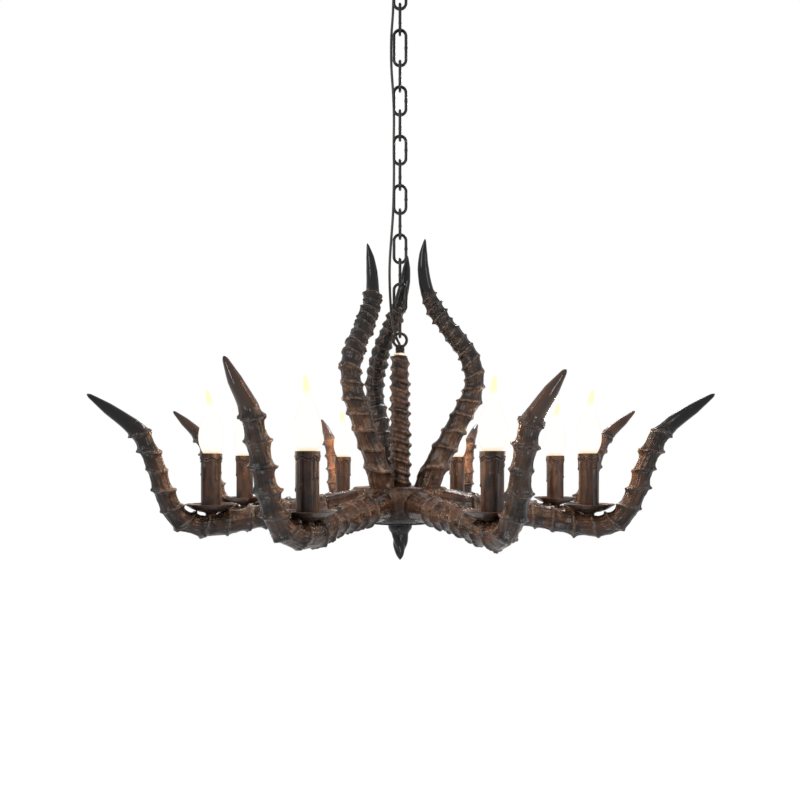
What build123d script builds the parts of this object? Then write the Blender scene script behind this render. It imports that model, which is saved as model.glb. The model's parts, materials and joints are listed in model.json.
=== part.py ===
import os
from math import cos, radians, sin, tan

from build123d import *

# Antler chandelier, in millimetres: eight long horns with candle lamps around a hub,
# three horns standing on it, a ribbed column, a chain and a ceiling canopy.
# The origin lies on the ceiling plane, on the axis of the light, and +Z is up,
# so everything hangs below it. -Y is the front.

# Clearances between pieces
link_gap = 0.22
seat_gap = 0.2
hole_gap = 0.2
turning_gap = 0.35

# Ceiling crossbar
bar_width = 22.0
bar_thickness = 3.0
slot_spacing = 60.0
slot_length = 16.0
slot_width = 5.0
bar_end_gap = 5.5

# Canopy, its two studs and their knurled nuts
canopy_radius = 60.0
canopy_depth = 34.0
canopy_chamfer = 8.0
canopy_wall = 1.5
canopy_sides = 24
stud_inset = 7.0
stud_radius = 2.0
stud_end = 7.0
stud_nut_radius = 6.0
stud_nut_height = 8.0

# Chain: a ring at each end and the links between them
wire_radius = 2.3
link_length = 48.0
link_width = 23.0
link_count = 14
long_link_index = 2
long_link_length = 59.3
wire_sides = 6
link_bend_steps = 4
ring_diameter = 25.0
ring_wire_radius = 2.25
ring_bend_steps = 6
boss_radius = 6.8
boss_height = 7.0
boss_to_ring_centre = 6.5
ring_thread_depth = 4.5
canopy_boss_height = 10.0
stem_end = 2.0

# Supply cord
cord_radius = 2.0
cord_sides = 4

# Threaded centre tube and what clamps on it
tube_radius = 5.0
tube_bore_radius = 3.2
collar_radius = 7.0
collar_height = 7.0
washer_radius = 9.0
washer_thickness = 4.0
nut_radius = 8.5
nut_height = 5.0
turned_sides = 12

# Ribbed column
column_height = 200.0
column_base_radius = 15.6
column_top_radius = 14.4
column_rib_count = 12
column_rib_height = 2.0
column_rib_foot = 0.12
column_rib_crest = 0.62
column_rib_tilt = 5.0
column_sides = 10

# Hub
hub_height = 53.0
hub_radius = 65.0
hub_top_edge = 3.0
hub_bottom_radius = 51.0
hub_bottom_edge = 16.0
hub_bottom_bend = 5.6
hub_sides = 20
cavity_radius = 43.0
cavity_sides = 16
top_plate_thickness = 12.0
cover_radius = 48.0
cover_thickness = 3.0

# Finial
finial_neck_radius = 16.0
finial_cap_radius = 18.5
finial_cap_height = 9.0
finial_cap_edge = 2.5
finial_length = 57.0
finial_sides = 8
finial_twist = 14.0
finial_thread_depth = 13.0
tube_end_gap = 1.0

# Both kinds of horn
horn_sides = 6
horn_tip_radius = 2.2
ridge_crest_share = 0.8
tip_middle_share = 0.72

# Lower horns
lower_horn_count = 8
first_horn_azimuth = 22.5
horn_axis_drop = 26.0
socket_depth = 13.0
lower_root_radius = 18.0
lower_ridge_count = 14
lower_ridge_height = 2.2
lower_tip_length = 70.0
straight_root = 3.0

# Upper horns
upper_horn_azimuths = (-8.0, 112.0, 232.0)
upper_horn_radius = 43.0
upper_horn_lean = (0.35, 0, 1)
upper_ridge_start = 0.09
upper_ridge_count = 15
upper_ridge_height = 2.0
upper_tip_length = 71.0

# Bolts that hold the horns to the hub
bolt_radius = 3.0
bolt_head_radius = 5.0
bolt_head_height = 4.0
bolt_grip = 15.0
bolt_sides = 6
upper_bolt_radius = 37.5

# Candle lamps
candle_circle_radius = 283.0
spot_face_depth = 1.0
spot_face_height = 7.6
pan_radius = 35.0
pan_depth = 10.5
pan_wall = 1.2
pan_edge = 1.0
pan_foot_radius = 9.0
pan_foot_height = 6.5
pan_floor_radius = 17.0
pan_sides = 8
sleeve_height = 79.0
sleeve_radius = 14.0
sleeve_wall = 1.2
sleeve_sides = 8
holder_height = 71.0
holder_radius = 11.4
holder_foot_radius = 9.0
holder_shoulder = 2.0
holder_socket_height = 28.0
holder_sides = 6
nipple_radius = 5.0
nipple_bore_radius = 3.2
nipple_depth = 12.0
nipple_reach = 9.0
nipple_sides = 6
cap_radius = 6.9
cap_length = 24.0
bulb_radius = 17.5
bulb_height = 88.0
bulb_neck_radius = 8.0
bulb_sides = 6

# Centre line of a lower horn, between its root in the hub and the candle:
# (share of the way to the candle, upwards)
lower_arm_route = ((0.26, -4.5), (0.476, -10.0), (0.706, -14.0), (0.866, -20.0))

# and from the candle to its tip: (beyond the candle, upwards)
lower_elbow_route = (
    (-2.0, -24.5),
    (23.0, -22.5),
    (44.5, -10.0),
    (62.0, 20.0),
    (72.0, 52.0),
    (82.0, 79.0),
    (92.0, 99.0),
    (106.0, 113.0),
    (133.0, 133.0),
    (158.0, 151.0),
)

# Centre line of an upper horn, from its seat on the hub: (outwards, sideways, upwards)
upper_horn_route = (
    (-6.0, 0.0, -16.0),
    (0.0, 0.0, 0.0),
    (7.0, 0.0, 20.0),
    (19.5, 0.0, 47.0),
    (33.0, 0.0, 71.0),
    (45.5, 0.0, 95.0),
    (57.0, 0.0, 117.0),
    (66.0, 0.0, 137.0),
    (70.0, 0.0, 155.0),
    (70.0, 0.0, 170.0),
    (66.0, -0.5, 187.0),
    (57.0, -1.5, 206.0),
    (44.0, -3.0, 224.0),
    (30.5, -6.0, 242.0),
    (17.0, -10.0, 260.0),
    (6.0, -14.5, 280.0),
    (-1.0, -19.5, 301.0),
    (-4.5, -25.0, 336.0),
    (-1.0, -30.0, 369.0),
)

# Radius of a horn's core along its length: (share of the length, radius)
lower_horn_taper = ((0.0, lower_root_radius), (0.45, 16.4), (0.62, 13.2), (0.85, 10.0))
upper_horn_taper = ((0.0, 16.4), (0.3, 14.4), (0.6, 13.0), (0.83, 10.0))

# Bulb outline: (share of the height above the rim, share of the radius, sideways bend)
bulb_outline = (
    (0.02, 0.66, 0.0),
    (0.16, 0.97, 0.0),
    (0.36, 1.0, 0.0),
    (0.6, 0.68, 0.2),
    (0.82, 0.27, 1.5),
    (1.0, 0.08, 4.5),
)

# Finial outline below its cap: (share of what is left, share of the cap's radius)
finial_outline = ((0.26, 0.68), (0.44, 0.52), (0.72, 0.43), (0.88, 0.28), (1.0, 0.06))

# Centre line of the supply cord, from the upper ring's bore to the lower ring's bore
cord_route = (
    (0.0, 0.0, -38.0),
    (0.0, 0.0, -46.0),
    (-4.5, 2.5, -51.5),
    (-9.0, 5.5, -60.5),
    (-10.2, 6.0, -77.0),
    (-10.8, 6.0, -103.0),
    (-13.8, 6.6, -138.0),
    (-13.6, 6.0, -186.0),
    (-10.4, 5.5, -225.0),
    (-9.1, 5.6, -263.0),
    (-9.8, 6.0, -301.0),
    (-9.2, 5.5, -339.0),
    (-9.6, 5.8, -377.0),
    (-10.8, 5.7, -415.0),
    (-13.8, 6.4, -453.0),
    (-16.4, 7.0, -491.0),
    (-15.8, 7.5, -529.0),
    (-13.8, 7.4, -564.0),
    (-10.4, 7.4, -585.0),
    (-6.9, 6.6, -598.0),
    (-3.6, 3.6, -607.5),
    (0.0, 0.0, -614.0),
    (0.0, 0.0, -622.5),
)

# Crossbar and studs, worked out from the canopy that covers them
bar_length = 2 * (canopy_radius - canopy_wall - bar_end_gap)
stud_spacing = bar_length - 2 * stud_inset

# Heights, worked out from the ceiling down
canopy_face = -canopy_depth
upper_ring_centre = canopy_face - canopy_boss_height - boss_to_ring_centre
wire_reach = wire_radius / cos(radians(90 / link_bend_steps))
ring_wire_reach = ring_wire_radius / cos(radians(90 / ring_bend_steps))
ring_mean_radius = ring_diameter / 2 - ring_wire_radius
ring_crossing = ring_wire_reach + wire_reach + link_gap
link_crossing = 2 * wire_reach + link_gap
link_lengths = [link_length] * link_count
link_lengths[long_link_index] = long_link_length
link_tops = []
next_top = upper_ring_centre - ring_mean_radius + ring_crossing + wire_reach
for length in link_lengths:
    link_tops.append(next_top)
    next_top += link_crossing + 2 * wire_reach - length
lowest_link_wire = link_tops[-1] - link_lengths[-1] + wire_reach
lower_ring_centre = lowest_link_wire + ring_crossing - ring_mean_radius
boss_top = lower_ring_centre - boss_to_ring_centre
boss_bottom = boss_top - boss_height
collar_bottom = boss_bottom - collar_height
column_top = collar_bottom - washer_thickness
hub_top = column_top - column_height
hub_bottom = hub_top - hub_height
cavity_top = hub_top - top_plate_thickness
cover_bottom = hub_bottom - cover_thickness
horn_axis = hub_top - horn_axis_drop
horn_root = hub_radius - socket_depth
tube_top = boss_bottom + ring_thread_depth
tube_bottom = cover_bottom - finial_thread_depth
lower_horn_azimuths = [
    first_horn_azimuth + number * 360 / lower_horn_count for number in range(lower_horn_count)
]


def save(shape, node):
    shape.label = node
    export_step(shape, f"parts/{node}.step")


def turned(stations, sides, apothem=False, turn=0.0):
    # A many-sided turning, straight from each (height, radius) to the next.
    with BuildPart() as turning:
        for height, radius in stations:
            with BuildSketch(Plane.XY.offset(height)):
                RegularPolygon(radius, sides, major_radius=not apothem, rotation=turn)
        loft(ruled=True)
    return turning.part


def share_between(table, share):
    # Straight interpolation in a table of (share, value).
    for (share_a, value_a), (share_b, value_b) in zip(table, table[1:]):
        if share <= share_b:
            return value_a + (value_b - value_a) * (share - share_a) / (share_b - share_a)
    return table[-1][1]


def wire_link(length, width, radius, bend_steps):
    # A closed link of wire in the XZ plane, centred on the origin, swept from the middle
    # of one leg. Its mitred corners stand a little further out than the wire's radius.
    bend_radius = width / 2 - radius
    half_leg = length / 2 - radius / cos(radians(90 / bend_steps)) - bend_radius
    corners = []
    for first_angle, bend_height in ((0, half_leg), (180, -half_leg)):
        for step in range(bend_steps + (1 if half_leg > 0 else 0)):
            angle = radians(first_angle + 180 * step / bend_steps)
            corners.append((bend_radius * cos(angle), 0, bend_height + bend_radius * sin(angle)))
    start = (Vector(*corners[-1]) + Vector(*corners[0])) / 2
    with BuildPart() as link:
        with BuildLine():
            Polyline(start, *corners, start)
        with BuildSketch(Plane(start, (0, 1, 0), Vector(*corners[0]) - start)):
            RegularPolygon(radius, wire_sides, rotation=180 / wire_sides)
        sweep(transition=Transition.RIGHT)
    return link.part


def horn_curve(route, root_direction):
    tip_direction = Vector(*route[-1]) - Vector(*route[-2])
    with BuildLine():
        curve = Spline(*route, tangents=(root_direction, tip_direction.normalized()))
    return curve


def ridged_horn(curve, side, taper, ridge_start, ridge_count, ridge_height, tip_length):
    # A horn along a smooth curve: each ridge swells slowly and drops back at its crest,
    # and the last stretch is a smooth tip.
    with BuildPart() as horn:
        tip_start = 1 - tip_length / curve.length
        ridge_pitch = (tip_start - ridge_start) / ridge_count
        stations = [(0.0, share_between(taper, 0.0))]
        for ridge in range(ridge_count):
            foot = ridge_start + ridge * ridge_pitch
            crest = foot + ridge_crest_share * ridge_pitch
            stations.append((foot, share_between(taper, foot)))
            stations.append((crest, share_between(taper, crest) + ridge_height))
        stations.append((tip_start, share_between(taper, tip_start)))
        stations.append(((1 + tip_start) / 2, share_between(taper, 1) * tip_middle_share))
        stations.append((1.0, horn_tip_radius))
        for share, radius in stations:
            with BuildSketch(Plane(curve.position_at(share), side, curve.tangent_at(share))):
                RegularPolygon(radius, horn_sides)
        loft(ruled=True)
    return horn.part


def around(shape, azimuth):
    return shape.rotate(Axis.Z, azimuth)


os.makedirs("parts", exist_ok=True)

# Ceiling crossbar: a flat bar with two slots for the ceiling screws and two stud holes
with BuildPart() as ceiling_crossbar:
    with BuildSketch(Plane.XY.offset(-bar_thickness)):
        Rectangle(bar_length, bar_width)
        with GridLocations(slot_spacing, 1, 2, 1):
            SlotOverall(slot_length, slot_width, mode=Mode.SUBTRACT)
        with GridLocations(stud_spacing, 1, 2, 1):
            RegularPolygon(stud_radius + hole_gap, bolt_sides, major_radius=False, mode=Mode.SUBTRACT)
    extrude(amount=bar_thickness)
save(ceiling_crossbar.part, "ceiling_crossbar")

# Canopy: a shallow dish, open to the ceiling
with BuildPart() as canopy:
    add(
        turned(
            (
                (canopy_face, canopy_radius - canopy_chamfer),
                (canopy_face + canopy_chamfer, canopy_radius),
                (0.0, canopy_radius),
            ),
            canopy_sides,
        )
    )
    add(
        turned(
            (
                (canopy_face + canopy_wall, canopy_radius - canopy_chamfer - canopy_wall),
                (canopy_face + canopy_chamfer + canopy_wall / 2, canopy_radius - canopy_wall),
                (canopy_wall, canopy_radius - canopy_wall),
            ),
            canopy_sides,
        ),
        mode=Mode.SUBTRACT,
    )
    with BuildSketch(Plane.XY.offset(canopy_face)):
        RegularPolygon(tube_radius + hole_gap, turned_sides, major_radius=False)
        with GridLocations(stud_spacing, 1, 2, 1):
            RegularPolygon(stud_radius + hole_gap, bolt_sides, major_radius=False)
    extrude(amount=2 * canopy_wall, mode=Mode.SUBTRACT)
save(canopy.part, "canopy")

# Studs that hang from the crossbar and the knurled cap nuts that hold the canopy up
stud_bottom = canopy_face - stud_end
stud_places = [(side * stud_spacing / 2, 0, 0) for side in (-1, 1)]
with BuildPart() as canopy_screws:
    with BuildSketch(Plane.XY.offset(canopy_face - stud_nut_height)):
        with Locations(*stud_places):
            RegularPolygon(stud_nut_radius, turned_sides)
    extrude(amount=stud_nut_height)
    with BuildSketch(Plane.XY.offset(stud_bottom - hole_gap)):
        with Locations(*stud_places):
            RegularPolygon(stud_radius + hole_gap, bolt_sides)
    extrude(amount=stud_nut_height, mode=Mode.SUBTRACT)
    with BuildSketch(Plane.XY.offset(stud_bottom)):
        with Locations(*stud_places):
            RegularPolygon(stud_radius, bolt_sides)
    extrude(amount=-hole_gap - stud_bottom)
save(canopy_screws.part, "canopy_screws")

# Upper ring, edge-on to the front, with its boss and threaded stem through the canopy
link_ring = wire_link(ring_diameter, ring_diameter, ring_wire_radius, ring_bend_steps)
stem_top = canopy_face + canopy_wall + nut_height + stem_end
with BuildPart() as canopy_loop:
    with Locations(Location((0, 0, upper_ring_centre), (0, 0, 90))):
        add(link_ring)
    add(
        turned(
            ((canopy_face - canopy_boss_height, boss_radius), (canopy_face, boss_radius)),
            turned_sides,
        )
    )
    add(turned(((canopy_face, tube_radius), (stem_top, tube_radius)), turned_sides))
    bore_bottom = upper_ring_centre
    add(
        turned(((bore_bottom, tube_bore_radius), (stem_top, tube_bore_radius)), turned_sides, True),
        mode=Mode.SUBTRACT,
    )
save(canopy_loop.part, "canopy_loop")

# Nut that clamps the ring's stem inside the canopy
nut_seat = canopy_face + canopy_wall
with BuildPart() as canopy_loop_nut:
    add(turned(((nut_seat, nut_radius), (nut_seat + nut_height, nut_radius)), bolt_sides))
    add(
        turned(
            ((nut_seat, tube_radius + hole_gap), (nut_seat + nut_height, tube_radius + hole_gap)),
            turned_sides,
            True,
        ),
        mode=Mode.SUBTRACT,
    )
save(canopy_loop_nut.part, "canopy_loop_nut")

# Chain links: odd ones face the front, even ones stand edge-on
for number, (top, length) in enumerate(zip(link_tops, link_lengths), 1):
    quarter_turn = 0 if number % 2 else 90
    with BuildPart() as chain_link:
        with Locations(Location((0, 0, top - length / 2), (0, 0, quarter_turn))):
            add(wire_link(length, link_width, wire_radius, link_bend_steps))
    save(chain_link.part, f"chain_link_{number:02d}")

# Supply cord: straight runs joined by the largest arcs that they allow
cord_points = [Vector(*point) for point in cord_route]
cord_radii = []
for before, corner, after in zip(cord_points, cord_points[1:], cord_points[2:]):
    turn = (corner - before).get_angle(after - corner)
    shorter_run = min((corner - before).length, (after - corner).length)
    cord_radii.append(0.45 * shorter_run / tan(radians(turn) / 2))
with BuildPart() as supply_cord:
    with BuildLine():
        cord_path = FilletPolyline(*cord_route, radius=cord_radii)
    with BuildSketch(Plane(cord_path @ 0, z_dir=cord_path % 0)):
        RegularPolygon(cord_radius, cord_sides)
    sweep()
save(supply_cord.part, "supply_cord")
cord_section = cord_sides / 2 * cord_radius**2 * sin(radians(360 / cord_sides))
print("cord radii", [round(radius) for radius in cord_radii])
print("cord length", round(cord_path.length, 1))
print("cord volume", round(supply_cord.part.volume), round(cord_section * cord_path.length))

# Lower ring, facing the front, with the boss that screws on the centre tube
with BuildPart() as bottom_loop:
    with Locations((0, 0, lower_ring_centre)):
        add(link_ring)
    add(turned(((boss_bottom, boss_radius), (boss_top, boss_radius)), turned_sides))
    add(
        turned(((tube_top, tube_bore_radius), (lower_ring_centre, tube_bore_radius)), turned_sides, True),
        mode=Mode.SUBTRACT,
    )
    add(
        turned(((boss_bottom, tube_radius), (tube_top, tube_radius)), turned_sides),
        mode=Mode.SUBTRACT,
    )
save(bottom_loop.part, "bottom_loop")

# Knurled collar, pale washer and the two nuts, all on the centre tube
tube_hole = tube_radius + hole_gap
with BuildPart() as loop_collar:
    add(turned(((collar_bottom, collar_radius), (boss_bottom, collar_radius)), turned_sides))
    add(turned(((collar_bottom, tube_hole), (boss_bottom, tube_hole)), turned_sides), mode=Mode.SUBTRACT)
save(loop_collar.part, "loop_collar")

with BuildPart() as column_washer:
    add(turned(((column_top, washer_radius), (collar_bottom, washer_radius)), turned_sides))
    add(turned(((column_top, tube_hole), (collar_bottom, tube_hole)), turned_sides), mode=Mode.SUBTRACT)
save(column_washer.part, "column_washer")

with BuildPart() as centre_nuts:
    for seat in (cavity_top - nut_height, hub_bottom):
        add(turned(((seat, nut_radius), (seat + nut_height, nut_radius)), bolt_sides))
    add(turned(((hub_bottom, tube_hole), (cavity_top, tube_hole)), turned_sides), mode=Mode.SUBTRACT)
save(centre_nuts.part, "centre_nuts")

# Centre tube: from the ring's boss through the column and the hub into the finial
with BuildPart() as centre_tube:
    add(turned(((tube_bottom, tube_radius), (tube_top, tube_radius)), turned_sides))
    add(
        turned(((tube_bottom, tube_bore_radius), (tube_top, tube_bore_radius)), turned_sides),
        mode=Mode.SUBTRACT,
    )
save(centre_tube.part, "centre_tube")

# Column: a straight ribbed horn, its ribs tilted a little
rib_pitch = column_height / column_rib_count
with BuildPart() as column:
    with BuildSketch(Plane.XY.offset(hub_top)):
        RegularPolygon(column_base_radius, column_sides)
    for rib in range(column_rib_count):
        for share, swell in ((column_rib_foot, 0.0), (column_rib_crest, column_rib_height)):
            height = (rib + share) * rib_pitch
            core = column_base_radius + (column_top_radius - column_base_radius) * height / column_height
            rib_plane = Plane((0, 0, hub_top + height)).rotated((0, column_rib_tilt, 0))
            with BuildSketch(rib_plane if rib else Plane.XY.offset(hub_top + height)):
                RegularPolygon(core + swell, column_sides)
    with BuildSketch(Plane.XY.offset(column_top)):
        RegularPolygon(column_top_radius, column_sides)
    loft(ruled=True)
    add(turned(((hub_top, tube_hole), (column_top, tube_hole)), turned_sides), mode=Mode.SUBTRACT)
save(column.part, "column")

# Hub: a drum with a rounded lower edge, a wiring cavity and a socket for each lower horn
socket_radius = lower_root_radius + seat_gap
with BuildPart() as hub:
    add(
        turned(
            (
                (hub_bottom, hub_bottom_radius),
                (hub_bottom + hub_bottom_bend, hub_radius - hub_top_edge),
                (hub_bottom + hub_bottom_edge, hub_radius),
                (hub_top - hub_top_edge, hub_radius),
                (hub_top, hub_radius - hub_top_edge),
            ),
            hub_sides,
        )
    )
    add(
        turned(
            ((hub_bottom, cavity_radius), (cavity_top, cavity_radius)),
            cavity_sides,
            True,
            180 / cavity_sides,
        ),
        mode=Mode.SUBTRACT,
    )
    add(turned(((cavity_top, tube_hole), (hub_top, tube_hole)), turned_sides), mode=Mode.SUBTRACT)
    for azimuth in lower_horn_azimuths:
        outwards = (cos(radians(azimuth)), sin(radians(azimuth)), 0)
        sideways = (-outwards[1], outwards[0], 0)
        for start, length, radius, sides in (
            (horn_root, 2 * socket_depth, socket_radius, horn_sides),
            (cavity_radius - seat_gap, socket_depth, bolt_radius + hole_gap, bolt_sides),
        ):
            centre = (start * outwards[0], start * outwards[1], horn_axis)
            with BuildSketch(Plane(centre, sideways, outwards)):
                RegularPolygon(radius, sides)
            extrude(amount=length, mode=Mode.SUBTRACT)
    for azimuth in upper_horn_azimuths:
        outwards = (cos(radians(azimuth)), sin(radians(azimuth)), 0)
        centre = (upper_bolt_radius * outwards[0], upper_bolt_radius * outwards[1], cavity_top)
        with BuildSketch(Plane(centre, outwards)):
            RegularPolygon(bolt_radius + hole_gap, bolt_sides)
        extrude(amount=top_plate_thickness, mode=Mode.SUBTRACT)
save(hub.part, "hub")

# Cover plate under the cavity
with BuildPart() as hub_cover:
    add(turned(((cover_bottom, cover_radius), (hub_bottom, cover_radius)), hub_sides))
    add(turned(((cover_bottom, tube_hole), (hub_bottom, tube_hole)), turned_sides), mode=Mode.SUBTRACT)
save(hub_cover.part, "hub_cover")

# Finial: a cap and a twisted point, screwed on the end of the centre tube
finial_taper_top = cover_bottom - finial_cap_height
finial_taper_length = finial_length - finial_cap_height
with BuildPart() as finial:
    finial_stations = [
        (cover_bottom, finial_neck_radius, 0.0),
        (cover_bottom - finial_cap_edge, finial_cap_radius, 0.0),
        (finial_taper_top, finial_cap_radius, 0.0),
    ]
    for step, (share, radius_share) in enumerate(finial_outline, 1):
        finial_stations.append(
            (
                finial_taper_top - share * finial_taper_length,
                radius_share * finial_cap_radius,
                step * finial_twist,
            )
        )
    for height, radius, twist in finial_stations:
        with BuildSketch(Plane.XY.offset(height)):
            RegularPolygon(radius, finial_sides, rotation=twist)
    loft(ruled=True)
    add(
        turned(((tube_bottom - tube_end_gap, tube_hole), (cover_bottom, tube_hole)), turned_sides),
        mode=Mode.SUBTRACT,
    )
save(finial.part, "finial")

# Lower horn: one shape, turned to each place round the hub
arm_length = candle_circle_radius - horn_root
horn_points = [(horn_root, 0, horn_axis), (hub_radius + straight_root, 0, horn_axis)]
for share, rise in lower_arm_route:
    horn_points.append((horn_root + share * arm_length, 0, horn_axis + rise))
for beyond, rise in lower_elbow_route:
    horn_points.append((candle_circle_radius + beyond, 0, horn_axis + rise))
lower_curve = horn_curve(horn_points, (1, 0, 0))
plug_share = (socket_depth + straight_root) / lower_curve.length
seat_share = arm_length / lower_curve.length
for attempt in range(30):
    seat_share += (candle_circle_radius - lower_curve.position_at(seat_share).X) / lower_curve.length
candle_axis_height = lower_curve.position_at(seat_share).Z
candle_core = share_between(lower_horn_taper, seat_share) * cos(radians(180 / horn_sides))
candle_seat = candle_axis_height + candle_core - spot_face_depth
with BuildPart() as lower_horn_shape:
    add(
        ridged_horn(
            lower_curve,
            (0, 1, 0),
            lower_horn_taper,
            plug_share,
            lower_ridge_count,
            lower_ridge_height,
            lower_tip_length,
        )
    )
    with BuildSketch(Plane((candle_circle_radius, 0, candle_seat))):
        RegularPolygon(pan_foot_radius + hole_gap, pan_sides, major_radius=False)
    extrude(amount=spot_face_height, mode=Mode.SUBTRACT)
    with BuildSketch(Plane((candle_circle_radius, 0, candle_seat - nipple_depth))):
        RegularPolygon(nipple_radius + hole_gap, nipple_sides)
    extrude(amount=2 * nipple_depth, mode=Mode.SUBTRACT)
    with BuildSketch(Plane((horn_root, 0, horn_axis), (0, 1, 0), (1, 0, 0))):
        RegularPolygon(bolt_radius + hole_gap, bolt_sides)
    extrude(amount=bolt_grip + hole_gap, mode=Mode.SUBTRACT)
for number, azimuth in enumerate(lower_horn_azimuths, 1):
    with BuildPart() as lower_horn:
        add(around(lower_horn_shape.part, azimuth))
    save(lower_horn.part, f"lower_horn_{number}")

# Upper horn: stands on the hub's top face, one shape for all three places
horn_points = [
    (upper_horn_radius + out, aside, hub_top + rise) for out, aside, rise in upper_horn_route
]
with BuildPart() as upper_horn_shape:
    add(
        ridged_horn(
            horn_curve(horn_points, upper_horn_lean),
            (0, 1, 0),
            upper_horn_taper,
            upper_ridge_start,
            upper_ridge_count,
            upper_ridge_height,
            upper_tip_length,
        )
    )
    split(bisect_by=Plane.XY.offset(hub_top), keep=Keep.TOP)
    with BuildSketch(Plane((upper_bolt_radius, 0, hub_top))):
        RegularPolygon(bolt_radius + hole_gap, bolt_sides)
    extrude(amount=bolt_grip + hole_gap, mode=Mode.SUBTRACT)
for number, azimuth in enumerate(upper_horn_azimuths, 1):
    with BuildPart() as upper_horn:
        add(around(upper_horn_shape.part, azimuth))
    save(upper_horn.part, f"upper_horn_{number}")

# Bolts from inside the cavity into the roots of the horns
bolt_in_wall = horn_root - cavity_radius
with BuildPart() as lower_bolt:
    add(
        turned(((0, bolt_radius), (bolt_in_wall + bolt_grip, bolt_radius)), bolt_sides),
    )
    add(turned(((-bolt_head_height, bolt_head_radius), (0, bolt_head_radius)), bolt_sides))
with BuildPart() as upper_bolt:
    add(turned(((0, bolt_radius), (top_plate_thickness + bolt_grip, bolt_radius)), bolt_sides))
    add(turned(((-bolt_head_height, bolt_head_radius), (0, bolt_head_radius)), bolt_sides))
with BuildPart() as horn_bolts:
    for azimuth in lower_horn_azimuths:
        outwards = (cos(radians(azimuth)), sin(radians(azimuth)), 0)
        head_seat = (cavity_radius * outwards[0], cavity_radius * outwards[1], horn_axis)
        bolt_plane = Plane(head_seat, (-outwards[1], outwards[0], 0), outwards)
        with Locations(bolt_plane):
            add(lower_bolt.part)
    for azimuth in upper_horn_azimuths:
        outwards = (cos(radians(azimuth)), sin(radians(azimuth)), 0)
        head_seat = (upper_bolt_radius * outwards[0], upper_bolt_radius * outwards[1], cavity_top)
        with Locations(Plane(head_seat, outwards)):
            add(upper_bolt.part)
save(horn_bolts.part, "horn_bolts")

# Candle lamp pieces, made on the axis at the seat's height and set out round the circle
candle_places = [
    Location((candle_circle_radius * cos(radians(a)), candle_circle_radius * sin(radians(a)), 0), (0, 0, a))
    for a in lower_horn_azimuths
]
pan_floor = candle_seat + pan_foot_height + pan_wall
pan_rim = candle_seat + pan_foot_height + pan_depth
sleeve_top = pan_floor + sleeve_height
with BuildPart() as drip_pan:
    add(turned(((candle_seat, pan_foot_radius), (pan_floor, pan_foot_radius)), pan_sides))
    add(turned(((pan_floor - pan_wall, pan_floor_radius), (pan_rim, pan_radius)), pan_sides))
    add(
        turned(((pan_floor, pan_floor_radius), (pan_rim, pan_radius - pan_edge)), pan_sides),
        mode=Mode.SUBTRACT,
    )
    add(
        turned(((candle_seat, nipple_radius + hole_gap), (pan_floor, nipple_radius + hole_gap)), nipple_sides),
        mode=Mode.SUBTRACT,
    )
with BuildPart() as drip_pans:
    with Locations(*candle_places):
        add(drip_pan.part)
save(drip_pans.part, "drip_pans")

with BuildPart() as candle_nipple:
    nipple_ends = (candle_seat - nipple_depth, pan_floor + nipple_reach)
    add(turned([(end, nipple_radius) for end in nipple_ends], nipple_sides))
    add(turned([(end, nipple_bore_radius) for end in nipple_ends], nipple_sides), mode=Mode.SUBTRACT)
with BuildPart() as candle_nipples:
    with Locations(*candle_places):
        add(candle_nipple.part)
save(candle_nipples.part, "candle_nipples")

socket_top = pan_floor + holder_height
socket_bottom = socket_top - holder_socket_height
with BuildPart() as lamp_holder:
    add(
        turned(
            (
                (pan_floor, holder_foot_radius),
                (socket_bottom - holder_shoulder, holder_foot_radius),
                (socket_bottom, holder_radius),
                (socket_top, holder_radius),
            ),
            holder_sides,
        )
    )
    add(
        turned(
            (
                (pan_floor, nipple_radius + hole_gap),
                (pan_floor + nipple_reach + hole_gap, nipple_radius + hole_gap),
            ),
            nipple_sides,
        ),
        mode=Mode.SUBTRACT,
    )
    cap_room = cap_radius + turning_gap
    add(
        turned(
            ((socket_top - cap_length - turning_gap, cap_room), (socket_top, cap_room)),
            holder_sides,
            True,
        ),
        mode=Mode.SUBTRACT,
    )
with BuildPart() as lamp_holders:
    with Locations(*candle_places):
        add(lamp_holder.part)
save(lamp_holders.part, "lamp_holders")

with BuildPart() as sleeve_shape:
    add(turned(((pan_floor, sleeve_radius), (sleeve_top, sleeve_radius)), sleeve_sides))
    add(
        turned(
            ((pan_floor, sleeve_radius - sleeve_wall), (sleeve_top, sleeve_radius - sleeve_wall)),
            sleeve_sides,
        ),
        mode=Mode.SUBTRACT,
    )
for number, place in enumerate(candle_places, 1):
    with BuildPart() as candle_sleeve:
        with Locations(place):
            add(sleeve_shape.part)
    save(candle_sleeve.part, f"candle_sleeve_{number}")

# Bulb: a screw cap and a flame-shaped glass with a bent tip
glass_bottom = socket_top + turning_gap
with BuildPart() as bulb_glass:
    with BuildSketch(Plane.XY.offset(glass_bottom)):
        RegularPolygon(bulb_neck_radius, bulb_sides)
    for share, radius_share, bend in bulb_outline:
        with BuildSketch(Plane((bend, 0, sleeve_top + share * bulb_height))):
            RegularPolygon(radius_share * bulb_radius, bulb_sides)
    loft(ruled=True)
bulb_cap = turned(((socket_top - cap_length, cap_radius), (glass_bottom, cap_radius)), bulb_sides)
for number, place in enumerate(candle_places, 1):
    bulb = Compound(children=[bulb_glass.part.moved(place), bulb_cap.moved(place)])
    save(bulb, f"bulb_{number}")

print("upper ring centre", round(upper_ring_centre, 3))
print("link tops", [round(top, 3) for top in link_tops])
print("lower ring centre", round(lower_ring_centre, 3))
print("column top", round(column_top, 3), "hub top", round(hub_top, 3), "hub bottom", round(hub_bottom, 3))
print("candle seat", round(candle_seat, 3), "pan rim", round(pan_rim, 3), "sleeve top", round(sleeve_top, 3))
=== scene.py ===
import json
from math import atan2, cos, pi, radians, sin, sqrt, tau

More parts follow.
